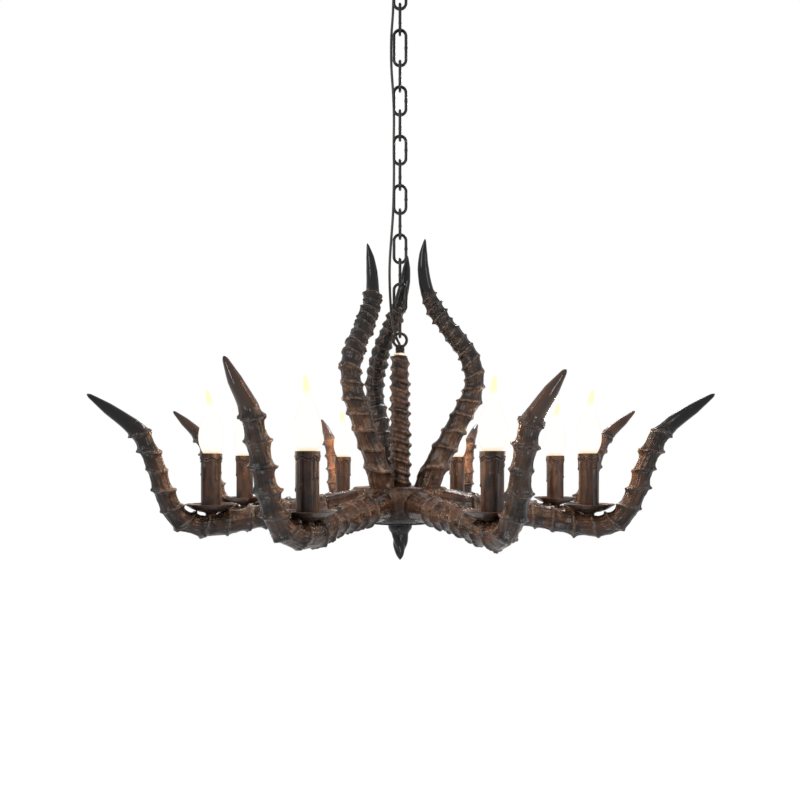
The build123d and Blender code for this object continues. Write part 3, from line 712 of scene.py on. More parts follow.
def hornTree(name, ridgeProfile):
    detail = hornDetail
    tree, given = startTree(name, hornInputs)
    position = addNode(tree, "GeometryNodeInputPosition").outputs[0]
    share = addNode(tree, "GeometryNodeSplineParameter").outputs
    line = {"Curve": given["Geometry"], "Count": given["Rings"]}
    line = addNode(tree, "GeometryNodeResampleCurve", line).outputs[0]
    line = storeValue(line, "along", share["Factor"])
    line = storeValue(line, "reach", share["Length"])
    line = storeValue(line, "centre", position)
    circle = {"Resolution": given["Sides"], "Radius": 1.0}
    circle = addNode(tree, "GeometryNodeCurvePrimitiveCircle", circle).outputs[0]
    circle = storeValue(circle, "turn", share["Factor"])
    thickness = addNode(tree, "GeometryNodeInputRadius").outputs[0]
    sweep = {"Curve": line, "Profile Curve": circle, "Scale": thickness, "Fill Caps": True}
    body = addNode(tree, "GeometryNodeCurveToMesh", sweep).outputs[0]

    along = readValue(tree, "along")
    centre = readValue(tree, "centre", "FLOAT_VECTOR")
    angle = times(readValue(tree, "turn"), tau)
    cosine, sine = calc("COSINE", angle), calc("SINE", angle)
    spin = fromParts(cosine, sine, 0.0)
    spoke = vectorCalc("SUBTRACT", position, centre)
    radius = vectorCalc("LENGTH", spoke)
    outwards = vectorCalc("NORMALIZE", spoke)
    seed = times(given["Seed"], detail["seedStep"])

    # How many ridges lie below a point, tilted to one side and wandering a little
    span = minus(given["Ridge End"], given["Ridge Start"])
    climb = calc("DIVIDE", minus(along, given["Ridge Start"]), span)
    climb = calc("POWER", calc("MAXIMUM", climb, 0.0), given["Ridge Crowding"])
    climb = times(climb, given["Ridge Count"])
    lean = vectorCalc("DOT_PRODUCT", outwards, given["Tilt Side"])
    climb = plus(climb, times(lean, given["Ridge Tilt"]))
    around = [times(part, detail["wanderAround"]) for part in (cosine, sine)]
    drift = fromParts(times(along, detail["wanderAlong"]), *around)
    drift = minus(seededNoise(drift, seed, 1.0), 0.5)
    climb = plus(climb, times(drift, given["Ridge Wander"]))
    inside = calc("LESS_THAN", climb, given["Ridge Count"])
    inside = times(calc("GREATER_THAN", climb, 0.0), inside)
    profile = addNode(tree, "ShaderNodeFloatCurve", {"Value": calc("FRACT", climb)})
    dots = profile.mapping.curves[0].points
    for x, y in ridgeProfile[1:-1]:
        dots.new(x, y)
    dots[0].location, dots[-1].location = ridgeProfile[0], ridgeProfile[-1]
    profile.mapping.update()
    crest = times(profile.outputs[0], inside)

    # Each ridge has its own height, and is stronger on one side
    ridge = plus(calc("FLOOR", climb), seed)
    own = addNode(tree, "ShaderNodeTexWhiteNoise", {"W": ridge}, noise_dimensions="1D").outputs["Value"]
    own = calc("MULTIPLY_ADD", own, *detail["ridgeHeights"])
    knobs = vectorCalc("MULTIPLY", spin, (detail["knobSpread"],) * 3)
    knobs = seededNoise(vectorCalc("ADD", knobs, position), ridge, detail["knobScale"])
    knobs = calc("MULTIPLY_ADD", knobs, *detail["knobs"])
    rise = times(times(crest, own), times(knobs, given["Ridge Height"]))

    # Long fibres between the ridges, faint on the smooth tip
    tipStart = minus(given["Ridge End"], 0.005)
    tip = smoothRange(along, tipStart, plus(given["Ridge End"], 0.02))
    reach = times(readValue(tree, "reach"), detail["fibreAlong"])
    grain = vectorCalc("MULTIPLY", spin, (detail["fibreAround"],) * 3)
    grain = vectorCalc("ADD", grain, fromParts(0.0, 0.0, reach))
    fibres = minus(seededNoise(grain, seed, detail["fibreScale"]), 0.5)
    fibres = times(fibres, times(given["Fibre Depth"], 3.0))
    bare = minus(1.0, times(tip, 0.98))
    bare = times(bare, smoothRange(crest, 0.2, 0.9, 1.0, 0.3))

    # Slow lumps and fine wrinkles
    lumps = minus(seededNoise(position, seed, detail["lumpScale"]), 0.5)
    lumps = times(lumps, times(given["Lump Depth"], 2.0))
    wrinkles = minus(seededNoise(position, seed, detail["wrinkleScale"], 3.0), 0.5)
    lumps = plus(lumps, times(wrinkles, given["Wrinkle Depth"]))
    lumps = times(lumps, minus(1.0, times(tip, 0.93)))

    # The tip closes in a small round end
    closing = minus(along, minus(1.0, given["Tip Rounding"]))
    closing = calc("DIVIDE", closing, given["Tip Rounding"])
    closing = calc("MAXIMUM", closing, 0.0)
    closing = minus(1.0, times(closing, closing))
    closing = calc("SQRT", calc("MAXIMUM", closing, 0.0004))
    full = plus(rise, plus(lumps, times(fibres, bare)))
    full = times(plus(radius, full), closing)
    surface = vectorCalc("ADD", centre, scaledVector(outwards, full))

    # A flat seat is cut for the drip pan
    parts = addNode(tree, "ShaderNodeSeparateXYZ", {0: surface}).outputs
    aside = minus(parts["X"], given["Seat Distance"])
    away = plus(times(aside, aside), times(parts["Y"], parts["Y"]))
    away = minus(calc("SQRT", away), detail["seatRadius"])
    away = times(calc("MAXIMUM", away, 0.0), detail["seatSlope"])
    ceiling = plus(given["Seat Height"], away)
    seated = calc("MINIMUM", parts["Z"], ceiling)
    seated = fromParts(parts["X"], parts["Y"], seated)

    # What the material reads
    body = storeValue(body, "crest", crest)
    body = storeValue(body, "smoothTip", tip)
    body = storeValue(body, "grain", grain)
    # Darker toward the tip, between the two given shares of the length
    soot = smoothRange(along, given["Darkening Start"], given["Darkening End"])
    body = storeValue(body, "soot", soot)
    # Painted warm bulb glow over the horn's own tone, stronger from the arm to the rising part
    warmth = times(given["Tone And Glow"], smoothRange(along, 0.3, 0.6, 0.2, 1.0))
    body = storeValue(body, "warmth", warmth)
    move = {"Geometry": body, "Position": seated}
    body = addNode(tree, "GeometryNodeSetPosition", move).outputs[0]
    return endTree(tree, body, given["Material"], ("along", "reach", "centre", "turn"))


def grownMesh(name, holder, tree, values):
    # Runs a tree on an object and keeps the result as a plain mesh
    modifier = holder.modifiers.new("grow", "NODES")
    modifier.node_group = tree
    for item in tree.interface.items_tree:
        if item.in_out == "INPUT" and item.name in values:
            modifier[item.identifier] = values[item.name]
    bpy.context.view_layer.update()
    graph = bpy.context.evaluated_depsgraph_get()
    grown = holder.evaluated_get(graph)
    mesh = bpy.data.meshes.new_from_object(grown, preserve_all_data_layers=True, depsgraph=graph)
    mesh.name = name
    bpy.data.objects.remove(holder)
    return mesh


def centreLine(name, route):
    # A smooth line through (x, y, z, radius)
    curve = bpy.data.curves.new(name, "CURVE")
    curve.dimensions = "3D"
    curve.resolution_u = 24
    spline = curve.splines.new("BEZIER")
    spline.bezier_points.add(len(route) - 1)
    places = [Vector(point[:3]) for point in route]
    for index, (point, place) in enumerate(zip(spline.bezier_points, places)):
        before, after = places[max(index - 1, 0)], places[min(index + 1, len(places) - 1)]
        slope = (after - before).normalized()
        point.co = place
        point.handle_left_type = point.handle_right_type = "FREE"
        point.handle_left = place - slope * (place - before).length / 3
        point.handle_right = place + slope * (after - place).length / 3
        point.radius = route[index][3]
    holder = bpy.data.objects.new(name, curve)
    bpy.context.collection.objects.link(holder)
    return holder


def tapered(places, taper):
    # Adds the radius to each place, from (share of the length, radius)
    lengths = [0.0]
    for before, after in zip(places, places[1:]):
        lengths.append(lengths[-1] + (Vector(after) - Vector(before)).length)
    route = []
    for place, length in zip(places, lengths):
        share = length / lengths[-1]
        for (shareA, radiusA), (shareB, radiusB) in zip(taper, taper[1:]):
            if share <= shareB + 1e-6:
                route.append((*place, radiusA + (radiusB - radiusA) * (share - shareA) / (shareB - shareA)))
                break
    return route


def addHorn(name, node, tree, places, taper, values, turn=0.0):
    values = {"Material": finishes["hornResin"], **values}
    mesh = grownMesh(name, centreLine(name, tapered(places, taper)), tree, values)
    mesh.transform(Matrix.Rotation(turn, 4, "Z"))
    addPiece(name, mesh, "fixture", node)


lowerHorn = {
    "arm": (
        (0.052, 0.0), (0.068, 0.0), (0.112, -0.0045), (0.162, -0.010), (0.215, -0.014),
        (0.252, -0.020), (0.281, -0.0245),
    ),
    "elbow": (
        (0.306, -0.0225), (0.3275, -0.010), (0.345, 0.020), (0.355, 0.052), (0.365, 0.079), (0.375, 0.099),
        (0.389, 0.113), (0.416, 0.133), (0.441, 0.151),
    ),
    "taper": (
        (0, 0.0225), (0.06, 0.0220), (0.11, 0.0195), (0.18, 0.0165), (0.45, 0.0152), (0.62, 0.0121),
        (0.85, 0.0106), (0.92, 0.0086), (0.965, 0.0059), (0.985, 0.0040), (1, 0.0022),
    ),
    "ridges": 13.0,
    # How much painted warm bulb glow, over its own tone, each lower horn gets
    "warmth": (0.8, 0.8, 0.95, 0.6, 0.2, 0.72, 0.85, 0.35),
    "darkTipBelow": 0.5,  # a horn with less tone and glow than this darkens toward its tip
    "soot": (0.62, 0.86),
    "noDarkening": (1.0, 1.1),
    # No two horns are the same: (outwards, aside, upwards) half way up and at the tip
    "lean": (
        ((0.002, 0.0, 0.0), (0.010, 0.0, 0.004)),
        ((0.0, 0.002, 0.0), (-0.004, 0.006, -0.006)),
        ((0.0, -0.003, 0.0), (0.003, -0.005, 0.004)),
        ((-0.003, 0.0, 0.0), (-0.008, 0.0, 0.003)),
        ((0.0, 0.002, 0.0), (0.0, 0.003, 0.0)),
        ((0.002, -0.013, 0.002), (-0.003, -0.005, 0.014)),
        ((0.0, -0.004, 0.0), (0.0, -0.009, 0.0)),
        ((0.0, -0.002, 0.0), (0.002, -0.003, 0.0)),
    ),
}
ridgedHorn = hornTree("ridgedHorn", thinCrest)
for number, (angle, place) in enumerate(candlePlaces, 1):
    middle, tip = (Vector(lean) for lean in lowerHorn["lean"][number - 1])
    places = [Vector((out, 0, hornAxis + rise)) for out, rise in lowerHorn["arm"]]
    for step, (out, rise) in enumerate(lowerHorn["elbow"], 1):
        share = step / len(lowerHorn["elbow"])
        lean = middle * 4 * share * (1 - share) + tip * share**2
        places.append(Vector((out, 0, hornAxis + rise)) + lean)
    warmth = lowerHorn["warmth"][number - 1]
    darkStart, darkEnd = lowerHorn["soot" if warmth < lowerHorn["darkTipBelow"] else "noDarkening"]
    values = {
        "Seed": float(number),
        "Ridge Count": lowerHorn["ridges"],
        "Tone And Glow": warmth,
        "Darkening Start": darkStart,
        "Darkening End": darkEnd,
        "Seat Distance": candleRadius,
        "Seat Height": panLow.z,
    }
    node = f"lower_horn_{number}"
    addHorn(f"lowerHorn{number}", node, ridgedHorn, places, lowerHorn["taper"], values, angle)

upperHorn = {
    "azimuths": (-8, 112, 232),
    "radius": 0.043,
    "route": (
        (-0.006, 0, -0.016), (0, 0, 0), (0.007, 0, 0.020), (0.0195, 0, 0.047), (0.033, 0, 0.071),
        (0.0455, 0, 0.095), (0.057, 0, 0.117), (0.066, 0, 0.137), (0.070, 0, 0.155), (0.070, 0, 0.170),
        (0.066, -0.0005, 0.187), (0.057, -0.0015, 0.206), (0.044, -0.003, 0.224), (0.0305, -0.006, 0.242),
        (0.017, -0.010, 0.260), (0.006, -0.0145, 0.280), (-0.001, -0.0195, 0.301),
        (-0.0045, -0.024, 0.326), (-0.004, -0.027, 0.348), (-0.001, -0.030, 0.369),
    ),
    "taper": (
        (0, 0.0190), (0.05, 0.0186), (0.11, 0.0162), (0.3, 0.0148), (0.6, 0.0130), (0.82, 0.0100),
        (0.9, 0.0085), (0.95, 0.0060), (0.98, 0.0034), (1, 0.0012),
    ),
    "inputs": {
        "Ridge Count": 15.0,
        "Ridge Start": 0.03,
        "Ridge End": 0.81,
        "Ridge Crowding": 1.45,
        "Ridge Tilt": 0.26,
        "Tilt Side": (-1.0, 0.2, 0.1),
        "Ridge Height": 0.0034,
        "Darkening Start": 0.22,
        "Darkening End": 0.55,
        "Tone And Glow": 0.6,
        "Rings": 420,
    },
}
swollenHorn = hornTree("swollenHorn", swollenRib)
places = [(upperHorn["radius"] + out, aside, hubHigh.z + rise) for out, aside, rise in upperHorn["route"]]
for number, azimuth in enumerate(upperHorn["azimuths"], 1):
    values = {"Seed": 20.0 + number, **upperHorn["inputs"]}
    node, turn = f"upper_horn_{number}", radians(azimuth)
    addHorn(f"upperHorn{number}", node, swollenHorn, places, upperHorn["taper"], values, turn)
print("horns made")

# Column: the same kind of ridges on a straight stem
column = {
    "taper": ((0, 0.0136), (1, 0.0112)),
    "steps": 6,
    "inputs": {
        "Seed": 41.0,
        "Ridge Count": 13.0,
        "Ridge Start": 0.0,
        "Ridge End": 1.0,
        "Ridge Height": 0.0042,
        "Ridge Tilt": 0.3,
        "Ridge Wander": 0.5,
        "Darkening Start": 1.1,
        "Darkening End": 1.2,
        "Tone And Glow": 0.1,
        "Wrinkle Depth": 0.0012,
        "Tilt Side": (1.0, 0.2, 0.0),
        "Lump Depth": 0.0008,
        "Tip Rounding": 0.004,
        "Rings": 260,
    },
}
columnHeight = columnHigh.z - columnLow.z
shares = [step / column["steps"] for step in range(column["steps"] + 1)]
places = [(0, 0, columnLow.z + share * columnHeight) for share in shares]
ribbedStem = hornTree("ribbedStem", roundRib)
addHorn("column", "column", ribbedStem, places, column["taper"], column["inputs"])
print("column made")

# Hub: a drum with folds, fibres and a swelling round each horn
hub = {
    "radius": 0.0715,
    "middleSwell": 0.003,
    "topEdge": 0.006,
    "bottomRadius": 0.057,
    "cavity": 0.043,
    "roof": 0.012,
    "collar": 0.0026,
    "collarRadius": 0.0185,
    "collarFade": 0.011,
    "folds": 0.0016,
    "fibres": 0.0009,
    "step": 0.0012,
    "sides": 300,
}


def hubRelief(angle, radius, height):
    wallStart = hub["cavity"] + 0.003
    if radius < wallStart:
        return 0
    weight = min(1, (radius - wallStart) / 0.012)
    nearest = min(abs((angle - azimuth + pi) % tau - pi) for azimuth, place in candlePlaces)
    away = sqrt((nearest * radius) ** 2 + (height - hornAxis) ** 2)
    collar = hub["collar"] * max(0, 1 - max(0, away - hub["collarRadius"]) / hub["collarFade"]) ** 2
    spot = Vector((cos(angle) * 7, sin(angle) * 7, height * 26))
    folds = hub["folds"] * noise.fractal(spot * 1.3, 0.6, 2.1, 4)
    spot = Vector((cos(angle) * 34, sin(angle) * 34, height * 60))
    fibres = hub["fibres"] * noise.fractal(spot, 0.7, 2.0, 3)
    return weight * (collar + folds + fibres)


outline = softened(
    (
        (boreRadius, hubHigh.z), (hub["radius"], hubHigh.z),
        (hub["radius"] + hub["middleSwell"], hubHigh.z - 0.020), (hub["radius"], hubLow.z + 0.018),
        (hub["radius"] - 0.004, hubLow.z + 0.007), (hub["bottomRadius"], hubLow.z),
        (hub["cavity"], hubLow.z), (hub["cavity"], hubHigh.z - hub["roof"]),
        (boreRadius, hubHigh.z - hub["roof"]),
    ),
    hub["topEdge"],
    8,
)
fine = []  # the outline in short steps, outside the cavity
for (radiusA, heightA), (radiusB, heightB) in zip(outline, outline[1:]):
    pieces = max(1, round(sqrt((radiusB - radiusA) ** 2 + (heightB - heightA) ** 2) / hub["step"]))
    if min(radiusA, radiusB) < hub["cavity"] + 0.001:
        pieces = 1
    for step in range(pieces):
        radius = radiusA + (radiusB - radiusA) * step / pieces
        fine.append((radius, heightA + (heightB - heightA) * step / pieces))
fine.append(outline[-1])
addShape("hub", latheShape(fine, hub["sides"], hubRelief), "hubResin", "hub")


def discOutline(low, high, rounding):
    # A flat ring from the bore to the node's own radius
    corners = ((boreRadius, high.z), (high.x, high.z), (high.x, low.z), (boreRadius, low.z))
    return softened(corners, rounding)


# Cover plate and the twisted finial
outline = discOutline(*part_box("hub_cover"), 0.001)
addShape("hubCover", latheShape(outline, 120), "darkResin", "hub_cover")

finial = {
    "twist": 3.0,
    "lobes": 3,
    "lobeDepth": 0.13,
    "roughness": 0.03,
    "cap": 0.0095,
    # (share of the cap's radius, height above the cap's underside)
    "profile": (
        (0.985, 0.002), (0.88, -0.0015), (0.66, -0.0065), (0.62, -0.014), (0.56, -0.024), (0.36, -0.036),
        (0.20, -0.043),
    ),
}
finialLow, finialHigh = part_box("finial")
capRadius = finialHigh.x
finialCap = finialHigh.z - finial["cap"]


def finialRelief(angle, radius, height):
    share = max(0, (finialCap - height) / (finialCap - finialLow.z))
    depth = finial["lobeDepth"] * min(1, share * 5) * radius
    turn = finial["lobes"] * (angle - finial["twist"] * share)
    rough = noise.noise(Vector((cos(angle) * 2, sin(angle) * 2, height * 120)))
    return depth * (abs(sin(turn / 2)) - 0.6) * 2 + finial["roughness"] * radius * rough


outline = [(0, finialHigh.z), (0.86 * capRadius, finialHigh.z), (capRadius, finialHigh.z - 0.0025)]
outline += [(share * capRadius, finialCap + rise) for share, rise in finial["profile"]]
outline = softened(outline + [(0, finialLow.z)], 0.004, 6)
shape = latheShape(outline, 96, finialRelief)
addShape("finial", shape, "darkResin", "finial", sharpAngle=60)
print("hub and finial made")


# Chain: a tree sweeps round wire along a filleted outline, one mesh for each link
linkInputs = {
    "Length": 0.048,
    "Width": 0.023,
    "Wire Radius": 0.0023,
    "Sides": 20,
    "Weld Swell": 0.00045,
    "Seed": 1.0,
    "Material": None,
}


def linkTree():
    tree, given = startTree("chainLink", linkInputs)
    position = addNode(tree, "GeometryNodeInputPosition").outputs[0]
    thick = times(given["Wire Radius"], 2.0)
    width = minus(given["Width"], thick)
    line = {"Width": width, "Height": minus(given["Length"], thick)}
    line = addNode(tree, "GeometryNodeCurvePrimitiveQuadrilateral", line).outputs[0]
    corner = times(calc("DIVIDE", width, 2.0), 0.999)
    line = {"Curve": line, "Count": 14, "Radius": corner}
    line = addNode(tree, "GeometryNodeFilletCurve", line, mode="POLY").outputs[0]
    line = addNode(tree, "GeometryNodeResampleCurve", {"Curve": line, "Count": 150}).outputs[0]
    line = storeValue(line, "centre", position)
    wire = {"Resolution": given["Sides"], "Radius": given["Wire Radius"]}
    wire = addNode(tree, "GeometryNodeCurvePrimitiveCircle", wire).outputs[0]
    body = {"Curve": line, "Profile Curve": wire}
    body = addNode(tree, "GeometryNodeCurveToMesh", body).outputs[0]
    centre = readValue(tree, "centre", "FLOAT_VECTOR")
    outwards = vectorCalc("NORMALIZE", vectorCalc("SUBTRACT", position, centre))
    parts = addNode(tree, "ShaderNodeSeparateXYZ", {0: centre}).outputs

    # The weld swells in the middle of one leg
    weld = smoothRange(calc("ABSOLUTE", parts["Y"]), 0.0006, 0.0026, 1.0, 0.0)
    weld = times(weld, calc("GREATER_THAN", parts["X"], 0.0))
    forged = minus(seededNoise(position, given["Seed"], 210.0), 0.55)
    rise = plus(times(weld, given["Weld Swell"]), times(forged, 0.0004))
    move = {"Geometry": body, "Offset": scaledVector(outwards, rise)}
    body = addNode(tree, "GeometryNodeSetPosition", move).outputs[0]
    return endTree(tree, body, given["Material"], ("centre",))


def treeHolder(name):
    holder = bpy.data.objects.new(name, bpy.data.meshes.new(name))
    bpy.context.collection.objects.link(holder)
    return holder


chainLink = linkTree()
upright = Matrix.Rotation(pi / 2, 4, "X")  # stands the flat outline up, facing the front
for number in range(1, len(chainJoints)):
    name, node = f"chainLink{number:02d}", f"chain_link_{number:02d}"
    low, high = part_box(node)
    values = {"Material": finishes["blackIron"], "Length": high.z - low.z, "Seed": float(number)}
    mesh = grownMesh(name, treeHolder(name), chainLink, values)
    turn = Matrix.Rotation(0 if number % 2 else pi / 2, 4, "Z")
    mesh.transform(Matrix.Translation((low + high) / 2) @ turn @ upright)
    addPiece(name, mesh, f"link_{number:02d}", node)
print("chain made")

# Rings at the ends of the chain, each on a turned boss
ring = {
    "outer": 0.0125,
    "wire": 0.00225,
    "boss": 0.0068,
    "bossHeight": 0.007,
    "stem": 0.005,
    "steps": 64,
    "sides": 20,
}


def ringShape(centre, turn):
    middle = ring["outer"] - ring["wire"]
    steps, sides = ring["steps"], ring["sides"]
    points, faces = [], []
    for index in range(steps):
        out = Vector((cos(tau * index / steps), 0, sin(tau * index / steps)))
        after = (index + 1) % steps
        for side in range(sides):
            angle = tau * side / sides
            points.append(middle * out + ring["wire"] * (out * cos(angle) + Vector((0, 1, 0)) * sin(angle)))
            corners = ((index, side), (index, side + 1), (after, side + 1), (after, side))
            faces.append(tuple(row * sides + corner % sides for row, corner in corners))
    return moved((points, faces), Matrix.Translation((0, 0, centre)) @ Matrix.Rotation(turn, 4, "Z"))


def knurl(depth, count, above):
    # Grooves on whatever lies further out than a radius
    def relief(angle, radius, height):
        return depth * abs(sin(count * angle / 2)) ** 0.7 - depth if radius > above else 0

    return relief


loopLow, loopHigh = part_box("bottom_loop")
ringCentre = loopHigh.z - ring["outer"]
bossLow, bossHigh = loopLow.z, loopLow.z + ring["bossHeight"]
ringFoot = ringCentre - ring["outer"] + ring["wire"]
outline = softened(
    (
        (0, ringFoot), (0.0042, ringFoot), (0.0056, bossHigh - 0.0012), (ring["boss"], bossHigh - 0.0018),
        (ring["boss"], bossLow + 0.0006), (ring["boss"] - 0.0005, bossLow), (0, bossLow),
    ),
    0.0006,
)
boss = latheShape(outline, 72, knurl(0.0005, 36, 0.0065))
addShape("bottomRing", merged([ringShape(ringCentre, 0), boss]), "blackIron", "bottom_loop")

# Collar: two knurled bands with a groove between them
collar = {"shoulder": 0.0066, "edge": 0.0005, "grooveDepth": 0.0009, "knurls": 40}
collarLow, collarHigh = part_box("loop_collar")
middle = (collarLow.z + collarHigh.z) / 2
outer, groove = collarHigh.x, collarHigh.x - collar["grooveDepth"]
outline = softened(
    (
        (boreRadius, collarHigh.z), (collar["shoulder"], collarHigh.z),
        (outer, collarHigh.z - collar["edge"]), (outer, middle + 0.0006), (groove, middle + 0.0003),
        (groove, middle - 0.0003), (outer, middle - 0.0006), (outer, collarLow.z + collar["edge"]),
        (collar["shoulder"], collarLow.z), (boreRadius, collarLow.z),
    ),
    0.0002,
    2,
)
shape = latheShape(outline, 144, knurl(0.0005, collar["knurls"], collar["shoulder"]))
addShape("collar", shape, "blackIron", "loop_collar")

outline = discOutline(*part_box("column_washer"), 0.0008)
addShape("washer", latheShape(outline, 64), "paleWasher", "column_washer")

# Upper ring and canopy
loopLow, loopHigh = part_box("canopy_loop")
canopyLow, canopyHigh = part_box("canopy")
ringCentre = loopLow.z + ring["outer"]
ringTop = ringCentre + ring["outer"] - ring["wire"]
outline = softened(
    (
        (0, ringTop), (0.0045, ringTop), (ring["boss"], canopyLow.z - 0.0045), (ring["boss"], canopyLow.z),
        (ring["stem"], canopyLow.z), (ring["stem"], loopHigh.z), (0, loopHigh.z),
    ),
    0.0008,
)
shape = merged([ringShape(ringCentre, pi / 2), latheShape(outline, 64)])
addShape("upperRing", shape, "blackIron", "canopy_loop", "ceiling_mount")

canopy = {
    "wall": 0.0015,
    "sides": 160,
    "dish": ((0.014, 0), (0.0165, 0.0022), (0.030, 0.0026)),  # (radius, rise)
    "shoulder": ((0.006, 0.0062), (0.0006, 0.014)),  # (in from the rim, rise)
    "shoulderInside": ((0.0021, 0.0148), (0.007, 0.0076)),
    "dishInside": ((0.030, 0.0041), (0.0158, 0.0037), (0.0135, 0.0015)),
    "screwPlace": 0.046,
    "studRadius": 0.0019,
    "capKnurls": 32,
}
rim = canopyHigh.x
outline = [(boreRadius, 0), *canopy["dish"]]
outline += [(rim - inwards, rise) for inwards, rise in canopy["shoulder"]]
outline += [(rim, canopyHigh.z - canopyLow.z), (rim - canopy["wall"], canopyHigh.z - canopyLow.z)]
outline += [(rim - inwards, rise) for inwards, rise in canopy["shoulderInside"]]
outline += [*canopy["dishInside"], (boreRadius, canopy["wall"])]
outline = softened([(radius, canopyLow.z + rise) for radius, rise in outline], 0.003, 5)
addShape("canopy", latheShape(outline, canopy["sides"]), "blackIron", "canopy", "ceiling_mount")

screwLow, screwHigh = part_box("canopy_screws")
studFoot, capTop = canopyLow.z - 0.001, canopyLow.z + 0.006
studRadius = canopy["studRadius"]
stud = latheShape(((0, screwHigh.z), (studRadius, screwHigh.z), (studRadius, studFoot), (0, studFoot)), 20)
outline = softened(
    (
        (0, capTop), (0.0055, capTop), (0.006, canopyLow.z - 0.0005), (0.006, screwLow.z + 0.002),
        (0.004, screwLow.z), (0, screwLow.z),
    ),
    0.0009,
)
cap = latheShape(outline, 96, knurl(0.0004, canopy["capKnurls"], 0.0054))
shapes = []
for side in (-canopy["screwPlace"], canopy["screwPlace"]):
    shapes += [moved(part, Matrix.Translation((side, 0, 0))) for part in (stud, cap)]
addShape("canopyScrews", merged(shapes), "blackIron", "canopy_screws", "ceiling_mount")
print("rings and canopy made")


def onEachCandle(shape):
    return merged([moved(shape, candleMatrix(number)) for number in range(lampCount)])


# Drip pans: thin saucers with a rolled rim on a small foot
pan = {
    "radius": 0.035,
    "foot": 0.009,
    "footHeight": 0.0062,
    "floor": 0.0165,
    "wave": 0.0005,
    "waves": 3,
    "sides": 96,
}
panBase, panRim = panLow.z + pan["footHeight"], panHigh.z
outline = softened(
    (
        (boreRadius, panLow.z), (pan["foot"], panLow.z), (pan["foot"] - 0.0022, panLow.z + 0.003),
        (pan["floor"] - 0.005, panBase - 0.0002), (pan["floor"], panBase + 0.0002),
        (0.026, panBase + 0.0042), (pan["radius"] - 0.0012, panRim - 0.0016),
        (pan["radius"] + 0.0003, panRim - 0.0006), (pan["radius"], panRim + 0.0003),
        (pan["radius"] - 0.0016, panRim), (0.0258, panBase + 0.0055),
        (pan["floor"] - 0.0006, panBase + 0.0014), (boreRadius, panBase + 0.0013),
    ),
    0.0022,
    5,
)


def panRelief(angle, radius, height):
    return pan["wave"] * sin(pan["waves"] * angle + 0.4) * max(0, (radius - 0.02) / 0.015)


shape = onEachCandle(latheShape(outline, pan["sides"], panRelief))
addShape("dripPans", shape, "bronzePaint", "drip_pans", sharpAngle=50)

# Candle sleeves: a tube with a scalloped lip at the top and drips that have run down
sleeve = {
    "radius": 0.0137,
    "wall": 0.0015,
    "lip": 0.0014,
    "lipDepth": (0.0055, 0.0032),  # at the least, and how much more in the scallops
    "secondEdge": (0.0016, 0.0012),
    "arcs": 6,
    "runs": 7,
    "runLength": (0.020, 0.030),  # mean and spread
    "runWidth": (0.0012, 0.0004),
    "runRise": 0.0009,
    "beadRise": 0.0015,
    "roughness": 0.0003,
    "sides": 144,
    "rows": 132,
}
sleeveBottom, sleeveTop = sleeveLow.z, sleeveHigh.z


def runsFor(seed):
    # Angle, length and half width of each run of wax below the lip
    runs = []
    for index in range(sleeve["runs"]):
        spot = Vector((seed * 3.7, index * 1.93, 0.5))
        angle = tau * (index + 0.8 * noise.noise(spot)) / sleeve["runs"]
        mean, spread = sleeve["runLength"]
        length = max(0.006, mean + spread * noise.noise(spot + Vector((9, 2, 4))))
        mean, spread = sleeve["runWidth"]
        runs.append((angle, length, mean + spread * noise.noise(spot + Vector((3, 8, 1)))))
    return runs


def sleeveRelief(seed):
    runs = runsFor(seed)
    lipLeast, lipMore = sleeve["lipDepth"]
    secondLeast, secondMore = sleeve["secondEdge"]

    def relief(angle, radius, height):
        if radius < sleeve["radius"] - 0.0004:
            return 0
        below = sleeveTop - height
        arc = abs(sin(sleeve["arcs"] * angle / 2 + seed))
        edge = lipLeast + lipMore * arc
        second = edge + secondLeast + secondMore * arc
        rise = sleeve["lip"] * min(1, max(0, (edge - below) / 0.0006))
        rise += 0.0006 * max(0, 1 - abs(edge - below - 0.0007) / 0.0008)
        rise = max(rise, 0.0013 * max(0, 1 - (abs(second - below) / 0.0011) ** 2))
        for runAngle, length, width in runs:
            side = abs((angle - runAngle + pi) % tau - pi) * radius
            end = second + length
            if side > 2 * width or below > end + 2 * width:
                continue
            run = sleeve["runRise"] * max(0, 1 - (side / width) ** 2) ** 0.5 if below < end else 0
            bead = sqrt(side**2 + (below - end) ** 2 * 0.5) / (1.5 * width)
            rise = max(rise, run, sleeve["beadRise"] * max(0, 1 - bead**2) ** 0.5)
        rough = noise.noise(Vector((cos(angle) * 5 + seed, sin(angle) * 5, height * 22)))
        return rise + sleeve["roughness"] * rough

    return relief


rows = sleeve["rows"]
bore = sleeve["radius"] - sleeve["wall"]
sleeveHeight = sleeveTop - sleeveBottom
outline = [(sleeve["radius"], sleeveTop - sleeveHeight * row / rows) for row in range(rows + 1)]
outline = [(bore, sleeveTop), *outline, (bore, sleeveBottom)]
for number in range(1, lampCount + 1):
    shape = latheShape(outline, sleeve["sides"], sleeveRelief(number))
    shape = moved(shape, candleMatrix(number - 1))
    node = f"candle_sleeve_{number}"
    addShape(f"candleSleeve{number}", shape, "bronzePaint", node, sharpAngle=70)

